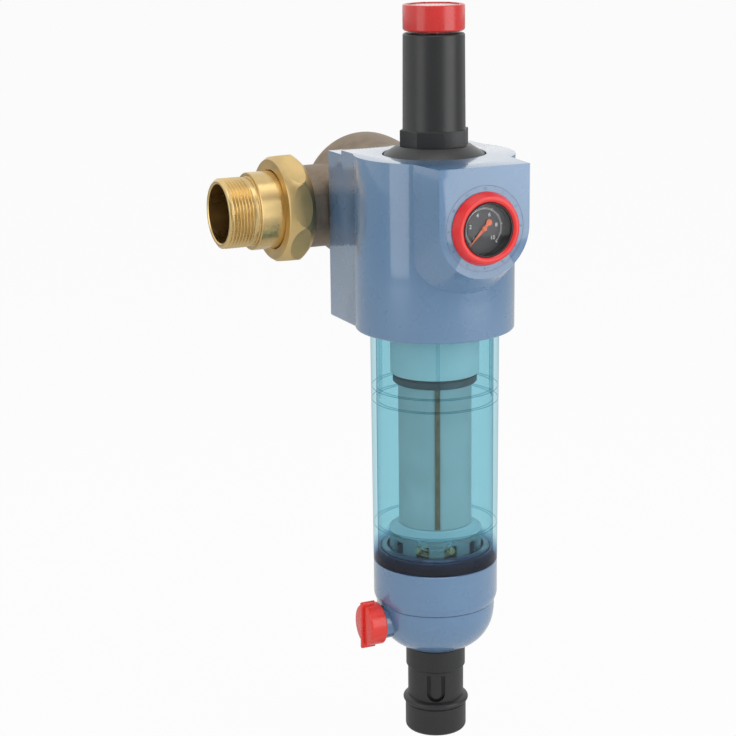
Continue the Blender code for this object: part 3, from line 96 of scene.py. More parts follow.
FACING_LEFT = Matrix.Rotation(radians(-90), 4, "Y")
FACING_RIGHT = Matrix.Rotation(radians(90), 4, "Y")
FACING_FRONT = Matrix.Rotation(radians(90), 4, "X")
FACING_BACK = Matrix.Rotation(radians(-90), 4, "X")
UPRIGHT = Matrix.Translation(FILTER_PLACE)
ON_GAUGE = Matrix.Translation(GAUGE_PLACE) @ FACING_FRONT
ON_KNOB = Matrix.Translation(KNOB_PLACE) @ FACING_LEFT


# Shaping: sizes come in millimetres, and the meshes are made in metres

def metres(point):
    return Vector([part * MM for part in point])


def add_loop(bm, points, closed=True):
    verts = [bm.verts.new(metres(point)) for point in points]
    edges = [bm.edges.new(pair) for pair in zip(verts, verts[1:])]
    if closed:
        edges.append(bm.edges.new((verts[-1], verts[0])))
    return verts, edges


def revolve(profile, steps=96):
    """Spin a profile of (radius, height) points about Z. One that starts and ends on the axis stays open."""
    bm = bmesh.new()
    closed = profile[0][0] > 0 or profile[-1][0] > 0
    verts, edges = add_loop(bm, [(radius, 0, height) for radius, height in profile], closed)
    bmesh.ops.spin(bm, geom=verts + edges, cent=(0, 0, 0), axis=(0, 0, 1), angle=tau,
                   steps=steps, use_merge=True)
    bmesh.ops.remove_doubles(bm, verts=bm.verts, dist=1e-6)
    bmesh.ops.recalc_face_normals(bm, faces=bm.faces)
    return bm


def soften(bm, width, segments=2, angle=35, where=None):
    """Round the edges that turn by more than the angle."""
    limit = radians(angle)
    edges = [edge for edge in bm.edges if edge.is_manifold and abs(edge.calc_face_angle(0)) > limit]
    if where:
        edges = [edge for edge in edges if all(where(vert.co / MM) for vert in edge.verts)]
    bmesh.ops.bevel(bm, geom=edges, offset=width * MM, offset_type="OFFSET", affect="EDGES",
                    segments=segments, profile=0.5, material=-1, clamp_overlap=True)
    return bm


def raise_outline(outline, low, high):
    bm = bmesh.new()
    verts, _ = add_loop(bm, [(x, y, low) for x, y in outline])
    face = bm.faces.new(verts)
    grown = bmesh.ops.extrude_face_region(bm, geom=[face])
    top = [part for part in grown["geom"] if isinstance(part, bmesh.types.BMVert)]
    bmesh.ops.translate(bm, vec=(0, 0, (high - low) * MM), verts=top)
    bmesh.ops.recalc_face_normals(bm, faces=bm.faces)
    return bm


def block(low, high):
    bm = bmesh.new()
    bmesh.ops.create_cube(bm, size=1.0)
    low, high = metres(low), metres(high)
    bmesh.ops.scale(bm, vec=high - low, verts=bm.verts)
    bmesh.ops.translate(bm, vec=(low + high) / 2, verts=bm.verts)
    return bm


def loft(rings):
    bm = bmesh.new()
    loops = [add_loop(bm, ring)[1] for ring in rings]
    for first, second in zip(loops, loops[1:]):
        bmesh.ops.bridge_loops(bm, edges=first + second)
    bmesh.ops.holes_fill(bm, edges=[edge for edge in bm.edges if edge.is_boundary])
    bmesh.ops.recalc_face_normals(bm, faces=bm.faces)
    return bm


def arc(centre, radius, start, end, count):
    points = []
    for index in range(count + 1):
        angle = radians(start + (end - start) * index / count)
        points.append((centre[0] + radius * cos(angle), centre[1] + radius * sin(angle)))
    return points


def mesh_of(bm, place):
    """A plain mesh from a bmesh that is not needed any more."""
    bmesh.ops.transform(bm, matrix=place, verts=bm.verts)
    mesh = bpy.data.meshes.new("piece")
    bm.to_mesh(mesh)
    bm.free()
    return mesh


def settled(item):
    """The mesh of an object with its modifiers or its text worked out."""
    depsgraph = bpy.context.evaluated_depsgraph_get()
    return bpy.data.meshes.new_from_object(item.evaluated_get(depsgraph))


def stand(name, data):
    """A new object in the scene."""
    item = bpy.data.objects.new(name, data)
    bpy.context.scene.collection.objects.link(item)
    return item


def shape(name, bm, place=Matrix()):
    """A mesh object in its place in the row frame."""
    return stand(name, mesh_of(bm, place))


def combine(item, tool, operation):
    """Apply one Boolean to the mesh and drop the tool."""
    step = item.modifiers.new("combine", "BOOLEAN")
    step.operation = operation
    step.solver = "EXACT"
    step.object = tool
    mesh = settled(item)
    item.modifiers.clear()
    old = item.data
    item.data = mesh
    bpy.data.meshes.remove(old)
    bpy.data.objects.remove(tool)
    return item


def cut(item, bm, place=Matrix()):
    return combine(item, shape("cutter", bm, place), "DIFFERENCE")


def join(item, bm, place=Matrix()):
    return combine(item, shape("addition", bm, place), "UNION")


def dress(item, material, body, slot, *replaced, angle=32):
    """Give a piece its finish, smooth shading, its body and the nodes it stands for. The slot argument is not
    used.
    """
    item.data.materials.clear()
    item.data.materials.append(material)
    item.data.shade_smooth()
    item.data.set_sharp_from_angle(angle=radians(angle))
    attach(item, body)
    if replaced:
        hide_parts(*replaced)
    return item


def rod(radius, low, high, steps):
    return revolve([(0, low), (radius, low), (radius, high), (0, high)], steps)


def spun(name, profile, steps=96, place=UPRIGHT):
    return shape(name, revolve(profile, steps), place)


# Materials

def add_node(tree, kind, **values):
    """A new shader node with some of its sockets set by name."""
    node = tree.nodes.new("ShaderNode" + kind)
    for name, value in values.items():
        node.inputs[name.replace("_", " ")].default_value = value
    return node


def mix_shaders(tree, share, first, second):
    node = add_node(tree, "MixShader")
    if isinstance(share, float):
        node.inputs["Fac"].default_value = share
    else:
        tree.links.new(share, node.inputs["Fac"])
    tree.links.new(first.outputs[0], node.inputs[1])
    tree.links.new(second.outputs[0], node.inputs[2])
    return node


class Finish:
    """A node material with a few short ways to vary colour, roughness and relief."""

    def __init__(self, name):
        self.material = bpy.data.materials.new(name)
        self.material.use_nodes = True
        self.tree = self.material.node_tree
        self.links = self.tree.links
        self.shader = self.tree.nodes["Principled BSDF"]
        self.output = self.tree.nodes["Material Output"]
        self.coordinates = self.add("TexCoord").outputs["Object"]
        self.relief = None

    def add(self, kind, **values):
        return add_node(self.tree, kind, **values)

    def set(self, **values):
        for name, value in values.items():
            self.shader.inputs[name.replace("_", " ")].default_value = value
        return self

    def centred(self, centre, turn=(0, 0, 0)):
        mapping = self.add("Mapping", Location=centre, Rotation=turn)
        mapping.vector_type = "TEXTURE"
        self.links.new(self.coordinates, mapping.inputs["Vector"])
        return mapping.outputs["Vector"]

    def noise(self, scale, detail=3, vector=None, roughness=0.5):
        node = self.add("TexNoise", Scale=scale, Detail=detail, Roughness=roughness)
        self.links.new(vector or self.coordinates, node.inputs["Vector"])
        return node.outputs["Fac"]

    def speckle(self, scale):
        node = self.add("TexVoronoi", Scale=scale)
        self.links.new(self.coordinates, node.inputs["Vector"])
        return node.outputs["Distance"]

    def spread(self, value, low, high, start=0.0, end=1.0):
        node = self.add("MapRange", From_Min=start, From_Max=end, To_Min=low, To_Max=high)
        self.links.new(value, node.inputs["Value"])
        return node.outputs["Result"]

    def ramp(self, value, *stops):
        node = self.add("ValToRGB")
        elements = node.color_ramp.elements
        while len(elements) < len(stops):
            elements.new(0.5)
        for element, (place, colour) in zip(elements, stops):
            element.position = place
            element.color = (*colour, 1.0)
        self.links.new(value, node.inputs["Fac"])
        return node.outputs["Color"]

    def math(self, operation, first, second=0.0):
        node = self.add("Math")
        node.operation = operation
        for socket, value in zip(node.inputs, (first, second)):
            if isinstance(value, (int, float)):
                socket.default_value = value
            else:
                self.links.new(value, socket)
        return node.outputs["Value"]

    def tinted(self, base, share, colour):
        """A colour that is multiplied by another where the share is one."""
        node = self.add("Mix")
        node.data_type = "RGBA"
        node.blend_type = "MULTIPLY"
        self.links.new(share, node.inputs[0])
        self.links.new(base, node.inputs[6])
        node.inputs[7].default_value = (*colour, 1.0)
        return node.outputs[2]

    def axes(self, vector):
        node = self.add("SeparateXYZ")
        self.links.new(vector, node.inputs["Vector"])
        return node.outputs

    def colour(self, output):
        self.links.new(output, self.shader.inputs["Base Color"])
        return self

    def roughness(self, output):
        self.links.new(output, self.shader.inputs["Roughness"])
        return self

    def mottle(self, scale, detail, dark, light):
        """A cloudy colour between two tones."""
        return self.colour(self.ramp(self.noise(scale, detail), (0.3, dark), (0.7, light)))

    def dull(self, scale, detail, low, high):
        """A cloudy roughness."""
        return self.roughness(self.spread(self.noise(scale, detail), low, high))

    def bump(self, height, distance, strength=1.0):
        node = self.add("Bump", Strength=strength, Distance=distance)
        self.links.new(height, node.inputs["Height"])
        if self.relief:
            self.links.new(self.relief, node.inputs["Normal"])
        self.relief = node.outputs["Normal"]
        self.links.new(self.relief, self.shader.inputs["Normal"])
        return self


def shade(colour, factor):
    return tuple(min(1.0, part * factor) for part in colour)


def coated_blue(name, seam=None):
    """Stove enamel: nearly even, with a faint orange peel and a soft clear gloss. Above a given level it
    turns darker navy.
    """
    blue = (0.112, 0.232, 0.405)
    finish = Finish(name)
    finish.set(Coat_Weight=1.0, Coat_Roughness=0.07, Coat_IOR=1.6)
    cloud = finish.noise(18, 4)
    tone = finish.ramp(cloud, (0.3, shade(blue, 0.95)), (0.7, shade(blue, 1.05)))
    if seam:
        deep = (0.05, 0.15, 0.32)
        height = finish.axes(finish.coordinates)["Z"]
        tone = finish.tinted(tone, finish.spread(height, 0.0, 1.0, seam * MM, (seam + 0.3) * MM), deep)
    finish.colour(tone)
    finish.dull(60, 5, 0.22, 0.34)
    finish.bump(finish.noise(900, 2), 0.00001)
    finish.bump(finish.speckle(2200), 0.000004, 0.5)
    return finish.material


def moulded(name, colour, low=0.30, high=0.45, grain=1600, depth=0.000015, coat=0.0):
    """Injection moulded plastic with a fine eroded grain."""
    finish = Finish(name)
    finish.set(Coat_Weight=coat, Coat_Roughness=0.15)
    finish.mottle(25, 4, shade(colour, 0.92), shade(colour, 1.08))
    finish.dull(140, 4, low, high)
    finish.bump(finish.noise(grain, 3), depth)
    return finish.material


def turned_brass(name, colour, centre, turn, marks=2600, low=0.16, high=0.34):
    """Machined brass: fine turning marks round the axis and a little dulling."""
    finish = Finish(name)
    finish.set(Metallic=1.0)
    vector = finish.centred(centre, turn)
    x, y, z = finish.axes(vector)
    radius = finish.math("SQRT", finish.math("ADD", finish.math("MULTIPLY", x, x),
                                             finish.math("MULTIPLY", y, y)))
    across = finish.add("CombineXYZ")
    finish.links.new(radius, across.inputs["X"])
    finish.links.new(z, across.inputs["Y"])
    lines = finish.noise(marks, 3, across.outputs["Vector"])
    dull = finish.noise(45, 5)
    finish.colour(finish.ramp(dull, (0.3, shade(colour, 0.82)), (0.55, colour), (0.8, shade(colour, 1.12))))
    finish.roughness(finish.spread(dull, low, high, 0.3, 0.7))
    finish.bump(lines, 0.000012, 0.7)
    finish.bump(finish.noise(220, 4), 0.00001, 0.5)
    return finish.material


def sand_cast(name, colour):
    """Rough cast bronze with pits and darker skin."""
    finish = Finish(name)
    finish.set(Metallic=0.85)
    skin = finish.noise(70, 6, roughness=0.65)
    finish.colour(finish.ramp(skin, (0.25, shade(colour, 0.6)), (0.5, colour), (0.75, shade(colour, 1.35))))
    finish.roughness(finish.spread(skin, 0.42, 0.62, 0.3, 0.7))
    finish.bump(finish.noise(420, 5, roughness=0.7), 0.00012)
    finish.bump(finish.speckle(900), 0.00004, 0.8)
    return finish.material


def clear_wall(name, face, side, edge, gloss=0.06, dust=0.0, lines=(), fade=None):
    """See-through moulding. Its tint deepens edge on and towards a level where it fades, and painted shade
    darkens it along fine grooves.
    """
    finish = Finish(name)
    facing = finish.add("LayerWeight", Blend=0.5).outputs["Facing"]
    tint = finish.ramp(facing, (0.0, face), (0.62, face), (0.86, side), (0.985, edge))
    height = finish.axes(finish.coordinates)["Z"]
    # Painted shade: a darker band is painted along each groove height.
    for place in lines:
        near = finish.math("ABSOLUTE", finish.math("SUBTRACT", height, place * MM))
        tint = finish.tinted(tint, finish.spread(near, 1.0, 0.0, 0.00022, 0.00038), (0.30, 0.55, 0.60))
    if fade:
        low, high, colour = fade
        tint = finish.tinted(tint, finish.spread(height, 1.0, 0.0, low * MM, high * MM), colour)
    film = finish.add("BsdfTransparent")
    finish.links.new(tint, film.inputs["Color"])
    sheen = finish.add("BsdfGlossy")
    finish.links.new(finish.spread(finish.noise(30, 4), gloss, gloss + 0.06), sheen.inputs["Roughness"])
    ripple = finish.add("Bump", Distance=0.00012)
    finish.links.new(finish.noise(28, 2), ripple.inputs["Height"])
    finish.links.new(ripple.outputs["Normal"], sheen.inputs["Normal"])
    steep = finish.math("POWER", facing, 5)
    outside = finish.math("SUBTRACT", 1.0, finish.add("NewGeometry").outputs["Backfacing"])
    mirror = finish.math("MULTIPLY", finish.spread(steep, 0.03, 0.85), outside)
    top = mix_shaders(finish.tree, mirror, film, sheen)
    if dust:
        milk = finish.add("BsdfDiffuse", Color=(0.85, 0.95, 0.97, 1))
        top = mix_shaders(finish.tree, dust, top, milk)
    finish.links.new(top.outputs[0], finish.output.inputs["Surface"])
    finish.tree.nodes.remove(finish.shader)
    return finish.material


def woven_sleeve(name, centre):
    """Fine steel gauze wrapped round a cylinder."""
    finish = Finish(name)
    finish.set(Metallic=0.35)
    x, y, z = finish.axes(finish.centred(centre))
    around = finish.math("MULTIPLY", finish.math("ARCTAN2", y, x), 0.0248)
    warp = finish.math("SINE", finish.math("MULTIPLY", around, tau / 0.0006))
    weft = finish.math("SINE", finish.math("MULTIPLY", z, tau / 0.0006))
    weave = finish.math("MULTIPLY", warp, weft)
    cloud = finish.noise(40, 5)
    threads = finish.math("ADD", finish.spread(weave, 0.0, 0.35, -1.0, 1.0), finish.spread(cloud, 0.1, 0.65))
    finish.colour(finish.ramp(threads, (0.15, (0.46, 0.47, 0.47)), (0.85, (0.86, 0.86, 0.86))))
    finish.roughness(finish.spread(cloud, 0.45, 0.6))
    finish.bump(weave, 0.00006, 0.8)
    return finish.material


def rubber(name, colour):
    finish = Finish(name)
    finish.mottle(60, 4, shade(colour, 0.8), shade(colour, 1.3))
    finish.dull(150, 3, 0.5, 0.7)
    finish.bump(finish.noise(1200, 3), 0.00002)
    return finish.material


def steel(name, low=0.2, high=0.38):
    finish = Finish(name)
    finish.set(Metallic=1.0)
    finish.mottle(80, 5, (0.45, 0.46, 0.47), (0.66, 0.67, 0.68))
    finish.dull(120, 4, low, high)
    finish.bump(finish.noise(2400, 2), 0.00001)
    return finish.material


BRASS = (0.660, 0.480, 0.215)


# Housing

BLUE_PAINT = coated_blue("blue_enamel")


def housing_outline(reach, half, radius):
    corner = degrees(acos(half / radius))
    front = arc((0, 0), radius, 180 - corner, 360 + corner, 160)
    return [(half, reach), (-half, reach)] + front


def boss_section(half, centre, reach, top):
    """One U-shaped ring of the gauge boss."""
    arch = [(x, -reach, z) for x, z in arc((0, centre), half, 180, 360, 72)]
    return [(-half, -reach, top)] + arch + [(half, -reach, top)]


BLOCK_HALF = 48
BOSS_HALF = 32
BOSS_ROOT_HALF = 36
BOSS_ROOT_REACH = 30
BOSS_ROOT_DROP = 25.6


def housing():
    """Blue body with its round front, flat-sided back and the gauge boss that tapers out of it."""
    low, high = box("housing")
    reach = high.y - FILTER_AXIS.y
    boss = FILTER_AXIS.y - low.y
    radius = (high.x - low.x) / 2
    outline = housing_outline(reach, BLOCK_HALF, radius)
    body = shape("blue_housing", raise_outline(outline, low.z, high.z), UPRIGHT)
    sections = [boss_section(BOSS_ROOT_HALF, GAUGE_AXIS.z - BOSS_ROOT_DROP, BOSS_ROOT_REACH, high.z),
                boss_section(BOSS_HALF, GAUGE_AXIS.z, boss, high.z)]
    join(body, loft(sections), UPRIGHT)
    cut(body, block((-100, reach - 21, high.z - 2.8), (100, reach + 10, high.z + 10)), UPRIGHT)
    bm = bmesh.new()
    bm.from_mesh(body.data)
    bmesh.ops.remove_doubles(bm, verts=bm.verts, dist=2e-6)
    rim = low.z + 0.1
    soften(bm, 1.6, 5, 60, lambda co: co.z < rim)
    soften(bm, 0.55, 3, 60, lambda co: co.z > rim)
    bm.to_mesh(body.data)
    bm.free()
    recess = half_width("bonnet") + 1.0
    skirt = 27.4
    socket = half_width("bowl") + 0.4
    ledge = level("bowl_seal") + 0.3
    floor = high.z - 8
    bores = [(0, low.z - 10), (socket + 0.6, low.z - 10), (socket + 0.6, low.z),
             (socket, low.z + 0.6), (socket, ledge), (36, ledge),
             (36, ledge + 5), (20, ledge + 5), (20, 20.1), (skirt, 20.1),
             (skirt, floor), (recess, floor), (recess, high.z - 0.4), (recess + 0.4, high.z),
             (recess + 0.4, high.z + 10), (0, high.z + 10)]
    cut(body, revolve(bores, 128), UPRIGHT)
    seat = half_width("gauge_case") + 0.3
    floor = -box("gauge_case")[0].y - 18.3
    gauge = [(0, -FILTER_AXIS.y), (4.5, -FILTER_AXIS.y), (4.5, floor), (seat, floor),
             (seat, -low.y + 10), (0, -low.y + 10)]
    cut(body, revolve(gauge, 96), ON_GAUGE)
    return dress(body, BLUE_PAINT, "station", "housing_blue", "housing", angle=24)


housing()


# Bonnet and adjusting cap

BONNET_PLASTIC = moulded("bonnet_plastic", (0.020, 0.021, 0.022), 0.30, 0.42, 1500, 0.00002)


def collar_outline(radius, hollow, turn):
    points = []
    for side in range(8):
        first = radians(turn + 45 * side)
        second = radians(turn + 45 * (side + 1))
        middle_way = (first + second) / 2
        for step in range(12):
            share = step / 12
            dip = hollow * 4 * share * (1 - share)
            x = radius * ((1 - share) * cos(first) + share * cos(second))
            y = radius * ((1 - share) * sin(first) + share * sin(second))
            points.append((x - dip * cos(middle_way), y - dip * sin(middle_way)))
    return points


def bonnet():
    low, high, flange = span("bonnet")
    seat = level("housing") - 7.7
    collar_low = level("housing") + 5.4
    collar_high = collar_low + 10.6
    lid = level("housing")
    profile = [(17.5, low.z), (27, low.z), (27, seat), (flange, seat), (flange, lid - 0.4),
               (flange - 0.4, lid), (24.2, collar_low), (20.6, collar_low),
               (20.1, high.z - 0.8), (19.3, high.z), (4.4, high.z),
               (4.4, high.z - 9.5), (17.5, high.z - 9.5)]
    bm = revolve(profile, 128)
    soften(bm, 0.25, 2, 40, lambda co: co.z > lid + 1)
    barrel = shape("bonnet_barrel", bm, UPRIGHT)
    dress(barrel, BONNET_PLASTIC, "station", "bonnet_black", "bonnet")
    ring = raise_outline(collar_outline(23.2, 0.7, -10.2), collar_low - 0.1, collar_high)
    soften(ring, 0.45, 2, 60, lambda co: co.z > collar_high - 0.1)
    soften(ring, 0.2, 2, 20, lambda co: co.z > collar_low)
    collar = shape("bonnet_collar", ring, UPRIGHT)
    cut(collar, rod(20.35, collar_low - 10, collar_high + 10, 128), UPRIGHT)
    dress(collar, BONNET_PLASTIC, "station", "bonnet_black")


def adjusting_cap():
    """Red cap with a sunk pale disc and small notches round the inside of its rim."""
    low, high, radius = span("adjusting_cap")
    floor = high.z - 2.0
    inside = radius - 3.3
    profile = [(0, floor), (inside, floor), (inside, high.z - 0.3), (inside + 0.3, high.z),
               (radius - 0.9, high.z), (radius - 0.25, high.z - 0.3), (radius, high.z - 0.9),
               (radius, low.z + 1.2), (radius - 0.5, low.z + 0.5), (radius - 1.2, low.z),
               (inside, low.z), (inside, floor - 2.2), (7.5, floor - 2.2), (7.5, low.z),
               (4.3, low.z), (4.3, floor - 2.2), (0, floor - 2.2)]
    cap = spun("cap_shell", profile, 128)
    for index in range(6):
        turn = turned(28 + 60 * index)
        notch = block((inside - 0.5, -1.6, floor + 0.9), (inside + 1.2, 1.6, high.z + 10))
        cut(cap, notch, UPRIGHT @ turn)
    red = moulded("cap_red_gloss", (0.640, 0.030, 0.026), 0.22, 0.34, 1200, 0.00001, 0.3)
    dress(cap, red, "cap", "cap_red", "adjusting_cap")
    low, high = box("cap_disc")
    disc = revolve([(0, low.z), (inside - 0.3, low.z), (inside - 0.3, high.z - 0.2),
                    (inside - 0.5, high.z), (0, high.z)], 96)
    cream = moulded("disc_cream", (0.78, 0.60, 0.52), 0.2, 0.3, 900, 0.00001, 0.4)
    dress(shape("cap_inset", disc, UPRIGHT), cream, "cap", "disc_cream", "cap_disc")


bonnet()
adjusting_cap()


# Gauge and reminder ring

def reminder_ring():
    low, high = box("reminder_ring")
    root = (high.x - low.x) / 2
    back = -high.y
    front = -low.y
    bore = 17.6
    profile = [(bore, back), (root - 0.4, back), (root, back + 0.4), (21.7, front - 1.0),
               (21.4, front - 0.35), (20.8, front), (18.9, front), (18.3, front - 0.25),
               (bore, front - 1.1)]
    bm = revolve(profile, 128)
    red = moulded("ring_red_gloss", (0.840, 0.024, 0.022), 0.25, 0.36, 1300, 0.00001, 0.25)
    dress(shape("reminder_ring_moulding", bm, ON_GAUGE), red, "reminder_ring", "ring_red", "reminder_ring")


def gauge_case():
    low, high, radius = span("gauge_case")
    front = -low.y
    back = -high.y
    body = front - 18
    inside = radius - 0.8
    floor = -box("gauge_dial")[1].y - 0.3
    profile = [(0, back), (4.2, back), (4.2, body), (radius, body), (radius, front - 0.2),
               (radius - 0.2, front), (inside, front), (inside, floor), (0, floor)]
    black = moulded("case_black", (0.02, 0.02, 0.022), 0.3, 0.45, 1500, 0.00002)
    dress(spun("gauge_cup", profile, 96, ON_GAUGE), black, "station", "case_black", "gauge_case")


def numeral(name, words, size, place, depth):
    """Raised text, made a mesh before it is put in place."""
    curve = bpy.data.curves.new(name, "FONT")
    curve.body = words
    curve.size = size * MM
    curve.align_x = "CENTER"
    curve.align_y = "CENTER"
    curve.extrude = depth / 2 * MM
    curve.resolution_u = 4
    item = stand(name, curve)
    mesh = settled(item)
    bpy.data.objects.remove(item)
    bpy.data.curves.remove(curve)
    mesh.transform(place)
    return mesh


def collect(meshes):
    """One bmesh from many small meshes."""
    bm = bmesh.new()
    for mesh in meshes:
        bm.from_mesh(mesh)
        bpy.data.meshes.remove(mesh)
    bmesh.ops.remove_doubles(bm, verts=bm.verts, dist=1e-7)
    return bm


def on_dial(angle, radius):
    """A place on the dial, turned clockwise from the top as the viewer sees it."""
    a = radians(angle)
    return radius * sin(a), radius * cos(a)


SCALE_RADIUS = 12.2
SCALE_SWEEP = 270
SCALE_STEPS = 50
SCALE_NUMBERS = 5
NUMBER_RADIUS = 9.3


def dial():
    """Grey dial with a white pressure scale over three quarters of the circle."""
    low, high, radius = span("gauge_dial")
    back = -high.y
    face = -low.y
    grey = moulded("dial_grey", (0.036, 0.038, 0.046), 0.4, 0.5, 600, 0.000005)
    plate = shape("dial_plate", rod(radius, back, face, 96), ON_GAUGE)
    dress(plate, grey, "station", "dial_grey", "gauge_dial")
    thick = 0.06
    marks = []
    for index in range(SCALE_STEPS + 1):
        long = index % 10 == 0
        half = index % 5 == 0
        length = 1.7 if long else 1.4 if half else 1.1
        width = 0.50 if long else 0.38 if half else 0.26
        outer = SCALE_RADIUS + length
        bar = block((-width / 2, outer - length, face), (width / 2, outer, face + thick))
        turn = turned(SCALE_SWEEP / 2 - SCALE_SWEEP / SCALE_STEPS * index)
        marks.append(mesh_of(bar, ON_GAUGE @ turn))
    ring = arc((0, 0), SCALE_RADIUS + 0.15, -45, 225, 90)
    ring += list(reversed(arc((0, 0), SCALE_RADIUS, -45, 225, 90)))
    marks.append(mesh_of(raise_outline(ring, face, face + thick), ON_GAUGE))
    for index in range(SCALE_NUMBERS + 1):
        spot = on_dial(SCALE_SWEEP * (index / SCALE_NUMBERS - 0.5), NUMBER_RADIUS)
        place = ON_GAUGE @ Matrix.Translation(metres((*spot, face + thick / 2)))
        marks.append(numeral("scale_number", str(index * 2), 3.6, place, thick))
    white = moulded("scale_white", (0.92, 0.93, 0.94), 0.4, 0.5, 500, 0.000002)
    dress(shape("dial_scale", collect(marks)), white, "station", "dial_grey")


NEEDLE_TURN = 226.5


def needle():
    back = -box("gauge_needle")[1].y
    place = ON_GAUGE @ turned(NEEDLE_TURN)
    plane = back + 0.5
    blade = [(14.6, -0.2), (14.6, 0.2), (1.2, 1.15), (-4.2, 0.95),
             (-4.2, -0.95), (1.2, -1.15)]
    arm = raise_outline(blade, plane, plane + 0.5)
    soften(arm, 0.08, 1, 60)
    pointer = shape("pointer", arm, place)
    join(pointer, raise_outline(arc((-5, 0), 2.1, 0, 350, 35), plane, plane + 0.52), place)
    hub = revolve([(0, back), (1.8, back), (1.8, back + 1.4), (1.3, back + 1.9),
                   (0, back + 2.0)], 48)
    join(pointer, hub, place)
    orange = moulded("needle_orange", (0.86, 0.155, 0.045), 0.35, 0.5, 900, 0.000005)
    dress(pointer, orange, "needle", "needle_orange", "gauge_needle")


def lens():
    low, high, radius = span("gauge_lens")
    back = -high.y
    front = -low.y
    rise = 1.0
    profile = [(0, back), (radius, back), (radius, front - rise)]
    for step in range(1, 17):
        share = 1 - step / 16
        profile.append((radius * share, front - rise * share ** 2))
    clear = clear_wall("lens_clear", (0.99, 0.99, 0.99), (0.98, 0.98, 0.98), (0.80, 0.82, 0.84), 0.02)
    dress(spun("gauge_window", profile, 96, ON_GAUGE), clear, "station", "lens_clear", "gauge_lens")


def month_scale():
    """A thin circle with twelve ticks and numbers on the boss face, round the ring."""
    face = -box("housing")[0].y
    thick = 0.05
    ink = []
    outer = revolve([(27.25, face - 0.2), (27.45, face - 0.2), (27.45, face + thick),
                     (27.25, face + thick)], 144)
    ink.append(mesh_of(outer, ON_GAUGE))
    for index in range(12):
        turn = turned(-30 * index - 15)
        tick = block((-0.1, 26.3, face - 0.2), (0.1, 27.3, face + thick))
        ink.append(mesh_of(tick, ON_GAUGE @ turn))
        spot = on_dial(30 * (index + 1), 25.4)
        heading = turned(-30 * (index + 1))
        place = ON_GAUGE @ Matrix.Translation(metres((*spot, face + thick / 2))) @ heading
        ink.append(numeral("month_number", str(index + 1), 2.4, place, thick))
    blue_ink = moulded("scale_ink", (0.05, 0.10, 0.22), 0.4, 0.5, 500, 0.000002)
    dress(shape("month_scale", collect(ink)), blue_ink, "station", "housing_blue")


reminder_ring()
gauge_case()
dial()
needle()
lens()
month_scale()


# Clear bowl and what stands in it

BOWL_FACE = (0.715, 0.875, 0.910)
BOWL_SIDE = (0.64, 0.83, 0.885)
BOWL_EDGE = (0.36, 0.60, 0.70)
GROOVES = (-208.4, -120.9, -112.1)
NAVY_FOOT = (-233.5, -221.0, (0.10, 0.26, 0.46))
# The groove heights also set bands of painted shade in the clear wall.
CLEAR_BLUE = clear_wall("bowl_clear", BOWL_FACE, BOWL_SIDE, BOWL_EDGE, 0.04, 0.01, GROOVES, NAVY_FOOT)


RIB_COUNT = 5
RIB_TURN = 246
RIB_FOOT = -111.9


def bowl():
    """Thick clear bowl with two fine grooves high up, one low down, and five ribs inside its upper half."""
    low, high, top = span("bowl")
    foot = top - 0.8
    bore = 39.3
    height = high.z - low.z

    def outer(z):
        return foot + (top - foot) * (z - low.z) / height

    profile = [(bore, low.z + 0.5), (bore + 0.5, low.z), (outer(low.z) - 0.5, low.z),
               (outer(low.z), low.z + 0.5)]
    for groove in GROOVES:
        for drop, dip in ((-0.75, 0.0), (-0.5, 0.35), (0.0, 0.5), (0.5, 0.35), (0.75, 0.0)):
            profile.append((outer(groove) - dip, groove + drop))
    profile += [(outer(high.z), high.z - 0.4), (outer(high.z) - 0.4, high.z),
                (bore + 0.6, high.z), (bore, high.z - 0.6)]
    wall = spun("clear_wall", profile, 144)
    dress(wall, CLEAR_BLUE, "station", "bowl_clear", "bowl")
    ribs = []
    for index in range(RIB_COUNT):
        turn = turned(RIB_TURN + 360 / RIB_COUNT * index)
        side = [(bore + 0.02, RIB_FOOT - 6), (bore + 0.02, high.z - 1),
                (bore - 1.6, high.z - 1.6), (bore - 1.6, RIB_FOOT)]
        bm = raise_outline(side, -1.2, 1.2)
        soften(bm, 0.3, 2, 60, lambda co: co.x < bore - 1)
        ribs.append(mesh_of(bm, UPRIGHT @ turn @ FACING_FRONT))
    rib = clear_wall("rib_clear", (0.86, 0.94, 0.96), (0.20, 0.42, 0.50), (0.04, 0.16, 0.22), 0.08, 0.0)
    dress(shape("inner_ribs", collect(ribs)), rib, "station", "bowl_clear")


def cage_head():
    """White moulded head of the filter insert: a neck, a shoulder and a skirt with one groove."""
    low, high, radius = span("cage_head")
    neck = 19.6
    shoulder = -46.0
    profile = [(17.2, low.z), (radius - 0.4, low.z), (radius, low.z + 0.4),
               (radius, -62.5), (radius - 0.8, -62.0), (radius - 0.8, -60.5),
               (radius, -60.0), (radius, shoulder - 1.2), (radius - 1.2, shoulder),
               (neck + 0.8, shoulder), (neck, shoulder + 0.8), (neck, high.z - 0.8),
               (neck - 0.8, high.z), (17.2, high.z)]
    white = moulded("head_white", (0.90, 0.92, 0.92), 0.35, 0.5, 900, 0.00002)
    dress(spun("insert_head", profile), white, "station", "head_white", "cage_head")


def packing_ring():
    low, high, radius = span("packing_ring")
    profile = [(20, low.z), (radius - 0.8, low.z), (radius, low.z + 0.8), (radius, high.z - 1.6),
               (radius - 1.0, high.z - 1.4), (radius - 1.0, high.z - 0.6),
               (radius - 1.6, high.z), (20, high.z)]
    grey = rubber("packing_grey", (0.115, 0.110, 0.115))
    dress(spun("insert_packing", profile), grey, "insert", "packing_grey", "packing_ring")


SEAM_TURN = 247
SEAM_TEETH = 60


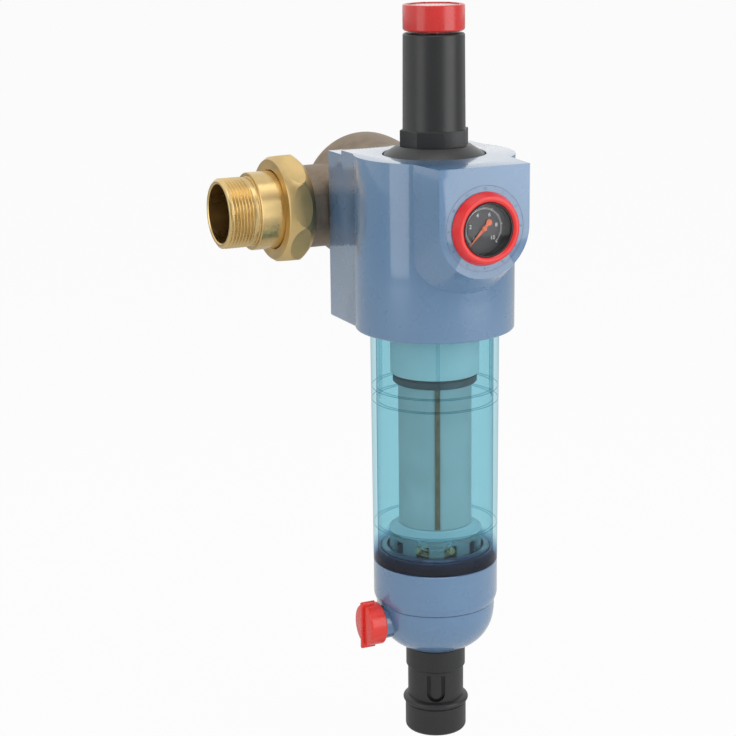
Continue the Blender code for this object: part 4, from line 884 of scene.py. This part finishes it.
def mesh_sleeve():
    """Steel gauze rolled round the insert, with its pressed seam strip."""
    low, high, radius = span("mesh_sleeve")
    profile = [(radius - 0.8, low.z), (radius, low.z), (radius, low.z + 1.6), (radius - 0.15, low.z + 2),
               (radius - 0.15, high.z - 2), (radius, high.z - 1.6), (radius, high.z),
               (radius - 0.8, high.z)]
    gauze = woven_sleeve("steel_gauze", tuple(FILTER_PLACE))
    dress(spun("gauze_sleeve", profile, 144), gauze, "insert", "sleeve_steel", "mesh_sleeve")
    low, high = box("seam_strip")
    turn = turned(SEAM_TURN)
    strip = [mesh_of(soften(block((radius - 0.1, -1.5, low.z), (radius + 0.25, 1.5, high.z)),
                            0.12, 1, 60), UPRIGHT @ turn)]
    for index in range(SEAM_TEETH):
        z = low.z + (high.z - low.z) * (index + 0.5) / SEAM_TEETH
        tooth = block((radius + 0.1, -1.9, z - 0.35), (radius + 0.42, 1.9, z + 0.35))
        strip.append(mesh_of(tooth, UPRIGHT @ turn))
    brown = Finish("seam_brown").set(Metallic=0.5)
    brown.mottle(300, 4, (0.26, 0.15, 0.09), (0.46, 0.28, 0.17))
    brown.dull(400, 3, 0.4, 0.6)
    brown.bump(brown.noise(1500, 3), 0.00003)
    dress(shape("stitched_seam", collect(strip)), brown.material, "insert", "seam_brown", "seam_strip")


def sleeve_bell():
    """Pale flared collar that closes the foot of the sleeve, with a faint painted glow."""
    low, high, radius = span("sleeve_bell")
    profile = [(4.5, low.z), (radius - 0.3, low.z), (radius, low.z + 0.4)]
    for step in range(9):
        share = step / 8
        flare = radius - (radius - 25.4) * sin(share * pi / 2) ** 1.3
        profile.append((flare, low.z + 0.8 + (high.z - low.z - 0.8) * share))
    profile += [(20, high.z), (20, low.z + 1.6), (4.5, low.z + 1.6)]
    pale = Finish("bell_pale_painted_glow").set(Transmission_Weight=0.3, IOR=1.45)
    pale.mottle(40, 3, (0.72, 0.85, 0.90), (0.86, 0.94, 0.97))
    pale.dull(120, 3, 0.25, 0.4)
    pale.bump(pale.noise(500, 2), 0.00001)
    # Painted glow: a faint emission makes the collar give off light of its own, though it is no lamp.
    pale.set(Emission_Color=(0.75, 0.9, 0.95, 1), Emission_Strength=0.05)
    dress(spun("flared_collar", profile), pale.material, "insert", "bell_clear", "sleeve_bell")


WINDOW_COUNT = 10
WINDOW_WIDTH = 9.5
WINDOW_TURN = 11


def guide_ring():
    """Clear ring with ten legs between its windows, which guides the insert."""
    low, high, radius = span("guide_ring")
    inner = radius - 2.4
    rim = high.z - 3.6
    profile = [(inner, low.z), (radius - 0.2, low.z), (radius, low.z + 0.2), (radius, high.z - 0.3),
               (radius - 0.3, high.z), (inner, high.z)]
    ring = spun("castellated_ring", profile, 160)
    side = WINDOW_WIDTH / 2
    windows = []
    for index in range(WINDOW_COUNT):
        window = block((inner - 4, -side, low.z - 10), (radius + 4, side, rim))
        soften(window, 1.2, 3, 60, lambda co: co.z > rim - 1)
        windows.append(mesh_of(window, turned(360 / WINDOW_COUNT * index + WINDOW_TURN)))
    cut(ring, collect(windows), UPRIGHT)
    clear = clear_wall("guide_clear", (0.80, 0.93, 0.96), (0.86, 0.95, 0.98), (0.55, 0.78, 0.86), 0.05, 0.22)
    dress(ring, clear, "insert", "guide_clear", "guide_ring")


def standpipe():
    """Turned brass pipe with a flange, under the insert."""
    brass = turned_brass("inner_brass", (0.46, 0.34, 0.12), tuple(FILTER_PLACE), (0, 0, 0))
    for node in ("standpipe", "spring_plate", "valve_stem"):
        paint(node, brass)


def paint(node, material):
    item = bpy.data.objects[node]
    if not item.material_slots:
        item.data.materials.append(material)
    for slot in item.material_slots:
        slot.material = material


bowl()
cage_head()
packing_ring()
mesh_sleeve()
sleeve_bell()
guide_ring()
standpipe()


# Bowl ring, drain cup, knob and nozzle

def base_seal():
    low, high, radius = span("base_seal")
    profile = [(radius - 1.7, low.z), (radius, low.z), (radius, high.z - 0.5),
               (radius - 0.5, high.z), (radius - 1.2, high.z), (radius - 1.7, high.z - 0.5)]
    navy = moulded("seal_navy", (0.004, 0.026, 0.100), 0.16, 0.26, 1200, 0.000008, 1.0)
    dress(spun("navy_seal", profile), navy, "station", "seal_navy", "base_seal")


def bowl_ring():
    low, high, radius = span("bowl_ring")
    shoulder = -234.4
    edge = -257.0
    profile = [(33, low.z), (40.3, low.z)]
    profile += [(40.3 + 0.5 * sin(radians(a)), low.z + 0.5 - 0.5 * cos(radians(a)))
                for a in (30, 60, 90)]
    for step in range(1, 9):
        share = step / 8
        profile.append((40.8 + (radius - 40.8) * sin(share * pi / 2),
                        low.z + 0.5 + (edge - low.z - 0.5) * share))
    profile += [(radius, shoulder - 0.5), (radius - 0.5, shoulder), (37, shoulder),
                (37, high.z - 1), (36, high.z), (33, high.z)]
    enamel = coated_blue("ring_enamel", shoulder + 0.5)
    dress(spun("blue_ring", profile, 128), enamel, "station", "ring_blue", "bowl_ring")


ARROW_TURN = 1.3


def drain_cup():
    """Rounded blue cup with a boss for the drain stem on its left and a small raised arrow."""
    low, high = box("drain_cup")
    radius = high.x
    top = -263.5
    straight = top - 1.5
    depth = 35
    foot = 20.8
    side = [(radius, straight)]
    for step in range(1, 41):
        z = straight - (straight - low.z) * step / 40
        share = (straight - z) / depth
        side.append((radius * (1 - share ** 2.4) ** (1 / 2.4), z))
    side[-1] = (max(side[-1][0], foot), low.z)
    inside = 13.1
    profile = [(radius - 0.4, top), (radius, top - 0.4)] + side
    profile += [(11.0, low.z), (11.0, low.z + 1.0), (inside, low.z + 1.0), (inside, top)]
    cup = spun("blue_cup", profile, 144)
    reach = -low.x
    boss = revolve([(0, 18), (11.4, 18), (11.4, reach - 0.8), (10.6, reach), (0, reach)], 96)
    join(cup, boss, ON_KNOB)
    cut(cup, rod(5.3, 10, reach + 10, 64), ON_KNOB)
    dress(cup, BLUE_PAINT, "station", "cup_blue", "drain_cup", angle=28)
    tip = raise_outline([(0, -268.4), (1.9, -264.8), (-1.9, -264.8)], radius - 1, radius + 0.05)
    soften(tip, 0.15, 2, 60)
    dress(shape("level_arrow", tip, UPRIGHT @ turned(ARROW_TURN) @ FACING_FRONT),
          BLUE_PAINT, "station", "cup_blue")


def drain_knob():
    """Red turning knob with a bar grip that stands a little above its round face."""
    low, high = box("drain_knob")
    back = -high.x
    radius = 14.4
    face = 54.8
    profile = [(0, back), (radius - 0.6, back), (radius, back + 0.6), (radius - 0.3, face - 1.0),
               (radius - 0.9, face - 0.2), (radius - 1.4, face), (0, face)]
    knob = spun("red_knob", profile, 96, ON_KNOB)
    half = (high.y - low.y) / 2
    reach = -low.x
    outline = []
    for index in range(33):
        a = radians(-90 + 180 * index / 32)
        outline.append((half - 1.4 + 1.4 * cos(a), 1.4 * sin(a)))
    outline += [(-x, -y) for x, y in outline]
    grip = raise_outline(outline, reach - 10, reach)
    soften(grip, 0.7, 4, 60, lambda co: co.z > reach - 0.1)
    join(knob, grip, ON_KNOB)
    red = moulded("knob_red_gloss", (0.800, 0.034, 0.022), 0.22, 0.34, 1300, 0.00001, 0.3)
    dress(knob, red, "drain_knob", "knob_red", "drain_knob", angle=26)


SLOT_TURNS = (244, 64)


def drain_nozzle():
    """Black outlet with a collar, a bead and two U-shaped slots."""
    low, high = box("drain_nozzle")
    top = -297.14
    bead = -337.1
    profile = [(7.5, low.z), (18.2, low.z)]
    profile += [(18.0 + 3 * sin(radians(a)), low.z + 3 - 3 * cos(radians(a)))
                for a in range(15, 91, 15)]
    profile += [(21.0, bead - 3.2), (20.4, bead - 2.6), (20.4, bead - 2.2)]
    profile += [(20.6 + 1.95 * cos(radians(a)), bead + 1.95 * sin(radians(a)))
                for a in range(-75, 76, 15)]
    profile += [(19.2, bead + 2.6), (19.2, top - 15.8), (20.0, top - 15.2),
                (20.4, top - 14.6), (20.4, top - 0.4), (20.0, top), (10.7, top),
                (10.7, high.z), (7.5, high.z)]
    nozzle = spun("black_nozzle", profile, 128)
    upper = -315.1
    width = 6.2
    slot = 2.6
    floor = upper - 19 + width
    outline = [(-width, upper), (-width + slot, upper)]
    outline += arc((0, floor), width - slot, 180, 360, 24)
    outline += [(width - slot, upper), (width, upper)]
    outline += arc((0, floor), width, 360, 180, 24)
    for heading in SLOT_TURNS:
        cut(nozzle, raise_outline(outline, 15.5, 24), UPRIGHT @ turned(heading + 90) @ FACING_FRONT)
    black = moulded("nozzle_black", (0.018, 0.0185, 0.019), 0.34, 0.48, 1400, 0.00002)
    dress(nozzle, black, "station", "nozzle_black", "drain_nozzle", angle=30)


base_seal()
bowl_ring()
drain_cup()
drain_knob()
drain_nozzle()


# Flange, unions and tail pieces

def thread_share(place):
    """Share of the thread's depth at a place along one pitch."""
    share = abs((place % 1.0) * 2 - 1)
    return min(1.0, max(0.0, (share - 0.12) / 0.76))


def pipe_place(side):
    return FACING_LEFT if side == "left" else FACING_RIGHT


def reach_of(node):
    """How far a node of the pipe run lies from the filter's middle plane, near end and far end."""
    low, high = box(node)
    return sorted((abs(low.x), abs(high.x)))


def tail_piece(side, material):
    """Turned brass tail with a stop collar, a plain barrel, a relief and an outside pipe thread."""
    name = "tail_piece_" + side
    near, far = reach_of(name)
    bore = 20
    collar = near + 5.6
    barrel = collar + 20.8
    start = barrel + 3.2
    profile = [(bore, near), (28.4, near), (29, near + 0.6), (29, collar - 0.5),
               (28.5, collar), (26.4, collar), (26.4, barrel - 0.5), (25.9, barrel),
               (23.8, barrel), (23.4, barrel + 0.5)]
    pitch = 2.309
    rows = int((far - 1.0 - start) / (pitch / 12))
    profile += [(23.4, start + row * pitch / 12) for row in range(rows)]
    profile += [(22.6, far - 0.8), (21.9, far), (bore + 0.7, far), (bore, far - 0.7)]
    bm = revolve(profile, 144)
    end = far - 0.9
    for vert in bm.verts:
        along = vert.co.z / MM
        if start - 0.01 < along < end and vert.co.xy.length > 23.2 * MM:
            turn = atan2(vert.co.y, vert.co.x) / tau
            groove = 1 - thread_share((along - start) / pitch - turn)
            fade = min(1.0, (along - start) / 1.5)
            crest = 23.85 - 0.45 * (1 - fade)
            vert.co.xy = vert.co.xy.normalized() * ((crest - 1.25 * groove * fade) * MM)
    dress(shape(side + "_tail", bm, pipe_place(side)), material, "station", "union_brass", name, angle=38)


def union_nut(side, material):
    """Barrel-shaped union nut with eight milled flats."""
    name = "union_nut_" + side
    rear, front = reach_of(name)
    crest = (rear + front) / 2
    shoulder = front - 4
    hole = 26.8
    profile = [(30.0, rear), (31.9, rear), (32.5, rear + 0.6)]
    for step in range(1, 15):
        share = step / 14
        profile.append((32.5 + 5.8 * sin(share * pi / 2),
                        rear + 0.6 + (crest - rear - 0.6) * share))
    for step in range(1, 13):
        share = step / 12
        profile.append((34.4 + 3.9 * cos(share * pi / 2),
                        crest + (front - 0.5 - crest) * share))
    profile += [(33.9, front), (hole + 0.6, front), (hole, front - 0.6),
                (hole, shoulder), (30.0, shoulder)]
    place = pipe_place(side)
    nut = shape(side + "_nut", revolve(profile, 160), place)
    corner = 35.6 / cos(pi / 8)
    turns = [radians(22.5 + 10.7 + 45 * index) for index in range(8)]
    prism = raise_outline([(corner * cos(turn), corner * sin(turn)) for turn in turns],
                          rear - 10, front + 10)
    combine(nut, shape("flats", prism, place), "INTERSECT")
    bm = bmesh.new()
    bm.from_mesh(nut.data)
    bmesh.ops.remove_doubles(bm, verts=bm.verts, dist=5e-6)
    bm.to_mesh(nut.data)
    bm.free()
    dress(nut, material, "station", "union_brass", name, angle=14)


def unions():
    lying = (0, radians(90), 0)
    nut_brass = turned_brass("nut_brass", BRASS, (0, 0, 0), lying, 1500, 0.34, 0.46)
    tail_brass = turned_brass("tail_brass", shade(BRASS, 1.06), (0, 0, 0), lying, 2600, 0.22, 0.36)
    for side in ("left", "right"):
        tail_piece(side, tail_brass)
        union_nut(side, nut_brass)


def arm_profile(reach):
    """Neck and male thread of one arm, from the dome outwards."""
    start = reach - 7
    points = [(28.2, 0), (28.2, start - 0.6), (28.8, start)]
    rows = 24
    for row in range(rows + 1):
        share = row / rows
        ridge = abs(((share * 3) % 1.0) * 2 - 1)
        points.append((28.6 + 0.9 * ridge, start + (reach - start - 0.6) * share))
    return points + [(28.6, reach)]


def carried_over():
    """Finishes for the CAD nodes that keep their shape."""
    black_rubber = rubber("seal_black", (0.012, 0.012, 0.013))
    for node in ("inner_port_seal", "outer_port_seal", "union_gasket_left", "union_gasket_right", "diaphragm",
                 "bowl_seal"):
        paint(node, black_rubber)
    zinc = steel("zinc_steel", 0.28, 0.42)
    for node in ("flange_screw_1", "flange_screw_2", "flange_screw_3", "flange_screw_4", "adjusting_spindle",
                 "drain_stem", "regulator_spring", "return_spring"):
        paint(node, zinc)
    paint("drain_ball", steel("ball_chrome", 0.05, 0.12))
    ivory = moulded("seat_white", (0.80, 0.80, 0.76), 0.25, 0.4, 900, 0.00001)
    for node in ("ball_seat_upper", "ball_seat_lower"):
        paint(node, ivory)
    paint("jet_rotor", moulded("rotor_white", (0.80, 0.82, 0.82), 0.35, 0.5, 900, 0.00001))
    paint("valve_cartridge", moulded("cartridge_grey", (0.50, 0.50, 0.47), 0.35, 0.5, 900, 0.00001))


def swivel_flange():
    """Cast body with a smooth dome behind, a flat front face, four screw pockets and two threaded arms."""
    facing = box("housing")[1].y + 0.3
    profile = [(0, facing), (39.4, facing), (40, facing + 0.6), (40, facing + 14.3)]
    profile += [(40 + 5 * sin(radians(9 * step)), facing + 14.3 + 3.34 * step)
                for step in range(1, 10)]
    profile += [(45 * cos(radians(a)), 22 + 22 * sin(radians(a)))
                for a in range(0, 90, 4)]
    profile.append((0, 44))
    body = shape("bronze_flange", revolve(profile, 128), FACING_BACK)
    low, high = box("swivel_flange")
    left_arm = [(radius, -along) for radius, along in reversed(arm_profile(-low.x))]
    run = [(0, low.x)] + left_arm + arm_profile(high.x) + [(0, high.x)]
    join(body, revolve(run, 96), FACING_RIGHT)
    cut(body, block((-50, facing - 60, -60), (50, facing, 60)))
    for near, far in ((low.x - 10, 8), (14, high.x + 10)):
        cut(body, rod(20, near, far, 96), FACING_RIGHT)
    cut(body, rod(9, facing - 10, -5, 64), FACING_BACK)
    for x in (-20, 20):
        for z in (-29, 29):
            pocket = [(0, facing - 10), (3.3, facing - 10), (3.3, facing + 10),
                      (5.4, facing + 10), (5.4, 60), (0, 60)]
            cut(body, revolve(pocket, 40), Matrix.Translation(metres((x, 0, z))) @ FACING_BACK)
    bronze = sand_cast("cast_bronze", (0.270, 0.212, 0.155))
    dress(body, bronze, "station", "cast_bronze", "swivel_flange", angle=30)


unions()
swivel_flange()
carried_over()


# Camera, light and floor

FLOOR_LEVEL = -0.4


def camera():
    data = bpy.data.cameras.new("Camera")
    data.lens = 96.94
    data.sensor_width = 36
    data.clip_start = 0.05
    data.clip_end = 120
    item = stand("Camera", data)
    right = Vector((0.90595, -0.42323, -0.01117))
    up = Vector((0.11477, 0.22010, 0.96870))
    forward = Vector((0.40753, 0.87888, -0.24797))
    turn = Matrix((right, up, -forward)).transposed().to_4x4()
    item.matrix_world = Matrix.Translation((-0.5818, -1.2364, 0.2290)) @ turn
    bpy.context.scene.camera = item


def softbox(name, place, target, width, height, power):
    data = bpy.data.lights.new(name, "AREA")
    data.shape = "RECTANGLE"
    data.size = width
    data.size_y = height
    data.energy = power
    item = stand(name, data)
    item.location = place
    item.rotation_euler = (Vector(target) - Vector(place)).to_track_quat("-Z", "Y").to_euler()


def studio():
    """White room behind the filter, seen by the camera and in reflections, and a soft even fill."""
    world = bpy.data.worlds.new("World")
    bpy.context.scene.world = world
    world.use_nodes = True
    tree = world.node_tree
    backdrop = tree.nodes["Background"]
    backdrop.inputs["Color"].default_value = (1, 1, 1, 1)
    backdrop.inputs["Strength"].default_value = 1.0
    fill = add_node(tree, "Background", Color=(0.99, 0.995, 1.0, 1), Strength=0.42)
    parts = add_node(tree, "SeparateXYZ")
    tree.links.new(add_node(tree, "TexCoord").outputs["Generated"], parts.inputs["Vector"])
    depth = add_node(tree, "MapRange", From_Min=-0.25, From_Max=0.35, To_Min=0.42, To_Max=1.05)
    tree.links.new(parts.outputs["Y"], depth.inputs["Value"])
    gloss = add_node(tree, "Background", Color=(1, 1, 1, 1))
    tree.links.new(depth.outputs["Result"], gloss.inputs["Strength"])
    rays = add_node(tree, "LightPath").outputs
    inner = mix_shaders(tree, rays["Is Glossy Ray"], fill, gloss)
    outer = mix_shaders(tree, rays["Is Camera Ray"], inner, backdrop)
    tree.links.new(outer.outputs[0], tree.nodes["World Output"].inputs["Surface"])


def floor():
    """Wide pale floor. The camera sees it mostly as white paper lit from below, with a soft shadow on it."""
    bm = bmesh.new()
    bmesh.ops.create_grid(bm, x_segments=1, y_segments=1, size=40)
    item = shape("floor", bm, Matrix.Translation((0, 0, FLOOR_LEVEL)))
    pale = Finish("floor_white").set(Specular_IOR_Level=0.1)
    pale.mottle(3, 2, (0.90, 0.90, 0.90), (0.92, 0.92, 0.92))
    pale.dull(8, 2, 0.8, 0.9)
    paper = pale.add("Emission", Color=(1, 1, 1, 1), Strength=1.0)
    share = pale.math("MULTIPLY", pale.add("LightPath").outputs["Is Camera Ray"], 0.94)
    mix = mix_shaders(pale.tree, share, pale.shader, paper)
    pale.links.new(mix.outputs[0], pale.output.inputs["Surface"])
    item.data.materials.append(pale.material)


camera()
studio()
softbox("window_left", (-1.46, -0.44, 0.32), (0, -0.08, 0.1), 0.80, 1.38, 5.0)
softbox("window_right", (0.78, -1.24, 0.29), (0, -0.08, 0.2), 1.05, 1.25, 9.0)
softbox("top_light", (-0.1, -0.5, 1.8), (0, -0.08, 0), 1.6, 1.3, 13.0)
floor()

scene = bpy.context.scene
scene.view_settings.view_transform = "Standard"
